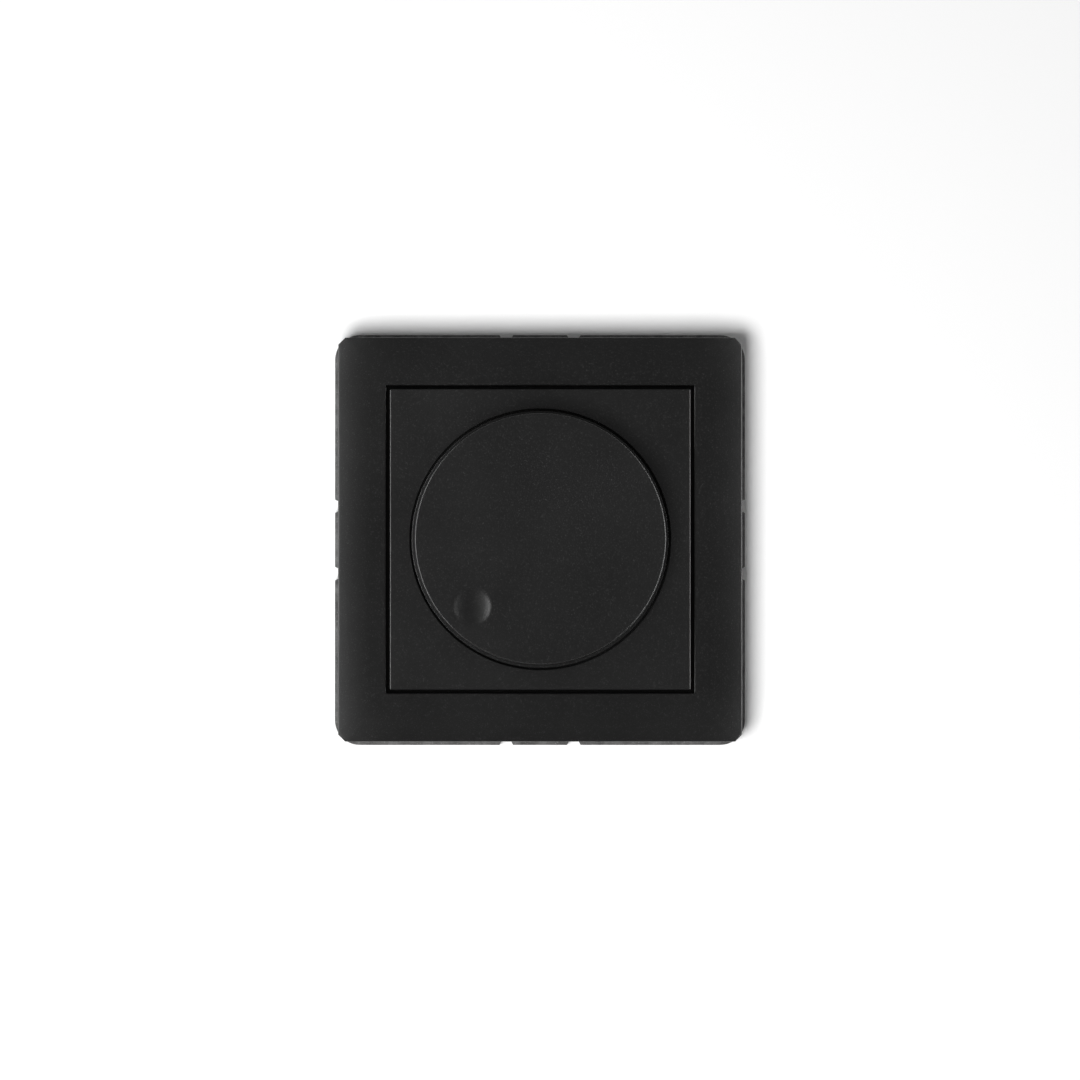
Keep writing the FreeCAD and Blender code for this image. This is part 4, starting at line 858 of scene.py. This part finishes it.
def make_world():
    """Dim room in front of the wall; behind it, plain white light on the mechanism."""
    room_level, rear_level, seen_level = 0.155, 0.5, 1.0
    # Directions point into the room up to a y of 0, and behind the wall from this y on
    wholly_behind = 0.2
    world = bpy.data.worlds.new("room")
    bpy.context.scene.world = world
    world.use_nodes = True
    tree = world.node_tree
    background = tree.nodes["Background"]
    background.inputs["Color"].default_value = (1.0, 1.0, 1.0, 1.0)
    rays = tree.nodes.new("ShaderNodeLightPath")
    seen = math_node(tree, "MAXIMUM", rays.outputs["Is Camera Ray"], rays.outputs["Is Transmission Ray"])
    split = tree.nodes.new("ShaderNodeSeparateXYZ")
    link(tree, tree.nodes.new("ShaderNodeTexCoord").outputs["Generated"], split.inputs["Vector"])
    behind = mapped(tree, split.outputs["Y"], 0.0, wholly_behind)
    glossy = math_node(tree, "MULTIPLY", rays.outputs["Is Glossy Ray"], behind)
    plain = mapped(tree, behind, 0.0, 1.0, room_level, rear_level)
    level = mapped(tree, math_node(tree, "MAXIMUM", seen, glossy), 0.0, 1.0, plain, seen_level)
    link(tree, level, background.inputs["Strength"])


def area_light(name, place, width, height, power, glossy=True, diffuse=True):
    """Lamp aimed at the middle of the part; the camera doesn't see it."""
    lamp = bpy.data.lights.new(name, "AREA")
    lamp.shape = "RECTANGLE"
    lamp.size = width
    lamp.size_y = height
    lamp.energy = power
    obj = add(name, lamp)
    obj.location = place
    obj.rotation_euler = (Vector((0, 0, 0)) - Vector(place)).to_track_quat("-Z", "Y").to_euler()
    obj.visible_glossy = glossy
    obj.visible_diffuse = diffuse
    obj.visible_camera = False


def make_lamps():
    """Key from below left and weak fill for the shadows, strips for the rims' gleam, one lamp behind."""
    # Places, widths and heights in m, then the power in W
    area_light("key", (-0.27, -0.8, -0.27), 0.42, 0.42, 10.3, glossy=False)
    area_light("fill", (0.35, -0.35, 0.35), 0.5, 0.5, 0.2, glossy=False)
    area_light("rear", (0.35, 0.7, 0.45), 0.4, 0.4, 5.0)
    area_light("left_strip", (-0.16, -0.07, 0.0), 0.05, 0.26, 0.51, diffuse=False)
    area_light("right_strip", (0.16, -0.038, 0.0), 0.05, 0.26, 0.5, diffuse=False)


def make_camera():
    """Straight in front, a little below and left of the axis, as the photograph's parallax shows."""
    # Distance from the wall in m and focal length in mm for each metre of it
    distance, lens_a_metre = 1.5, 159.0
    place, aim = Vector((-0.0062, -1.0, -0.02)) * distance, Vector((0.0, -0.002, 0.0))
    camera = add("camera", bpy.data.cameras.new("camera"))
    camera.data.sensor_width = 36.0
    camera.data.lens = lens_a_metre * distance
    camera.location = place
    camera.rotation_euler = (aim - place).to_track_quat("-Z", "Y").to_euler()
    bpy.context.scene.camera = camera


bpy.context.scene.view_settings.view_transform = "Standard"
make_world()
make_wall()
make_camera()
make_lamps()
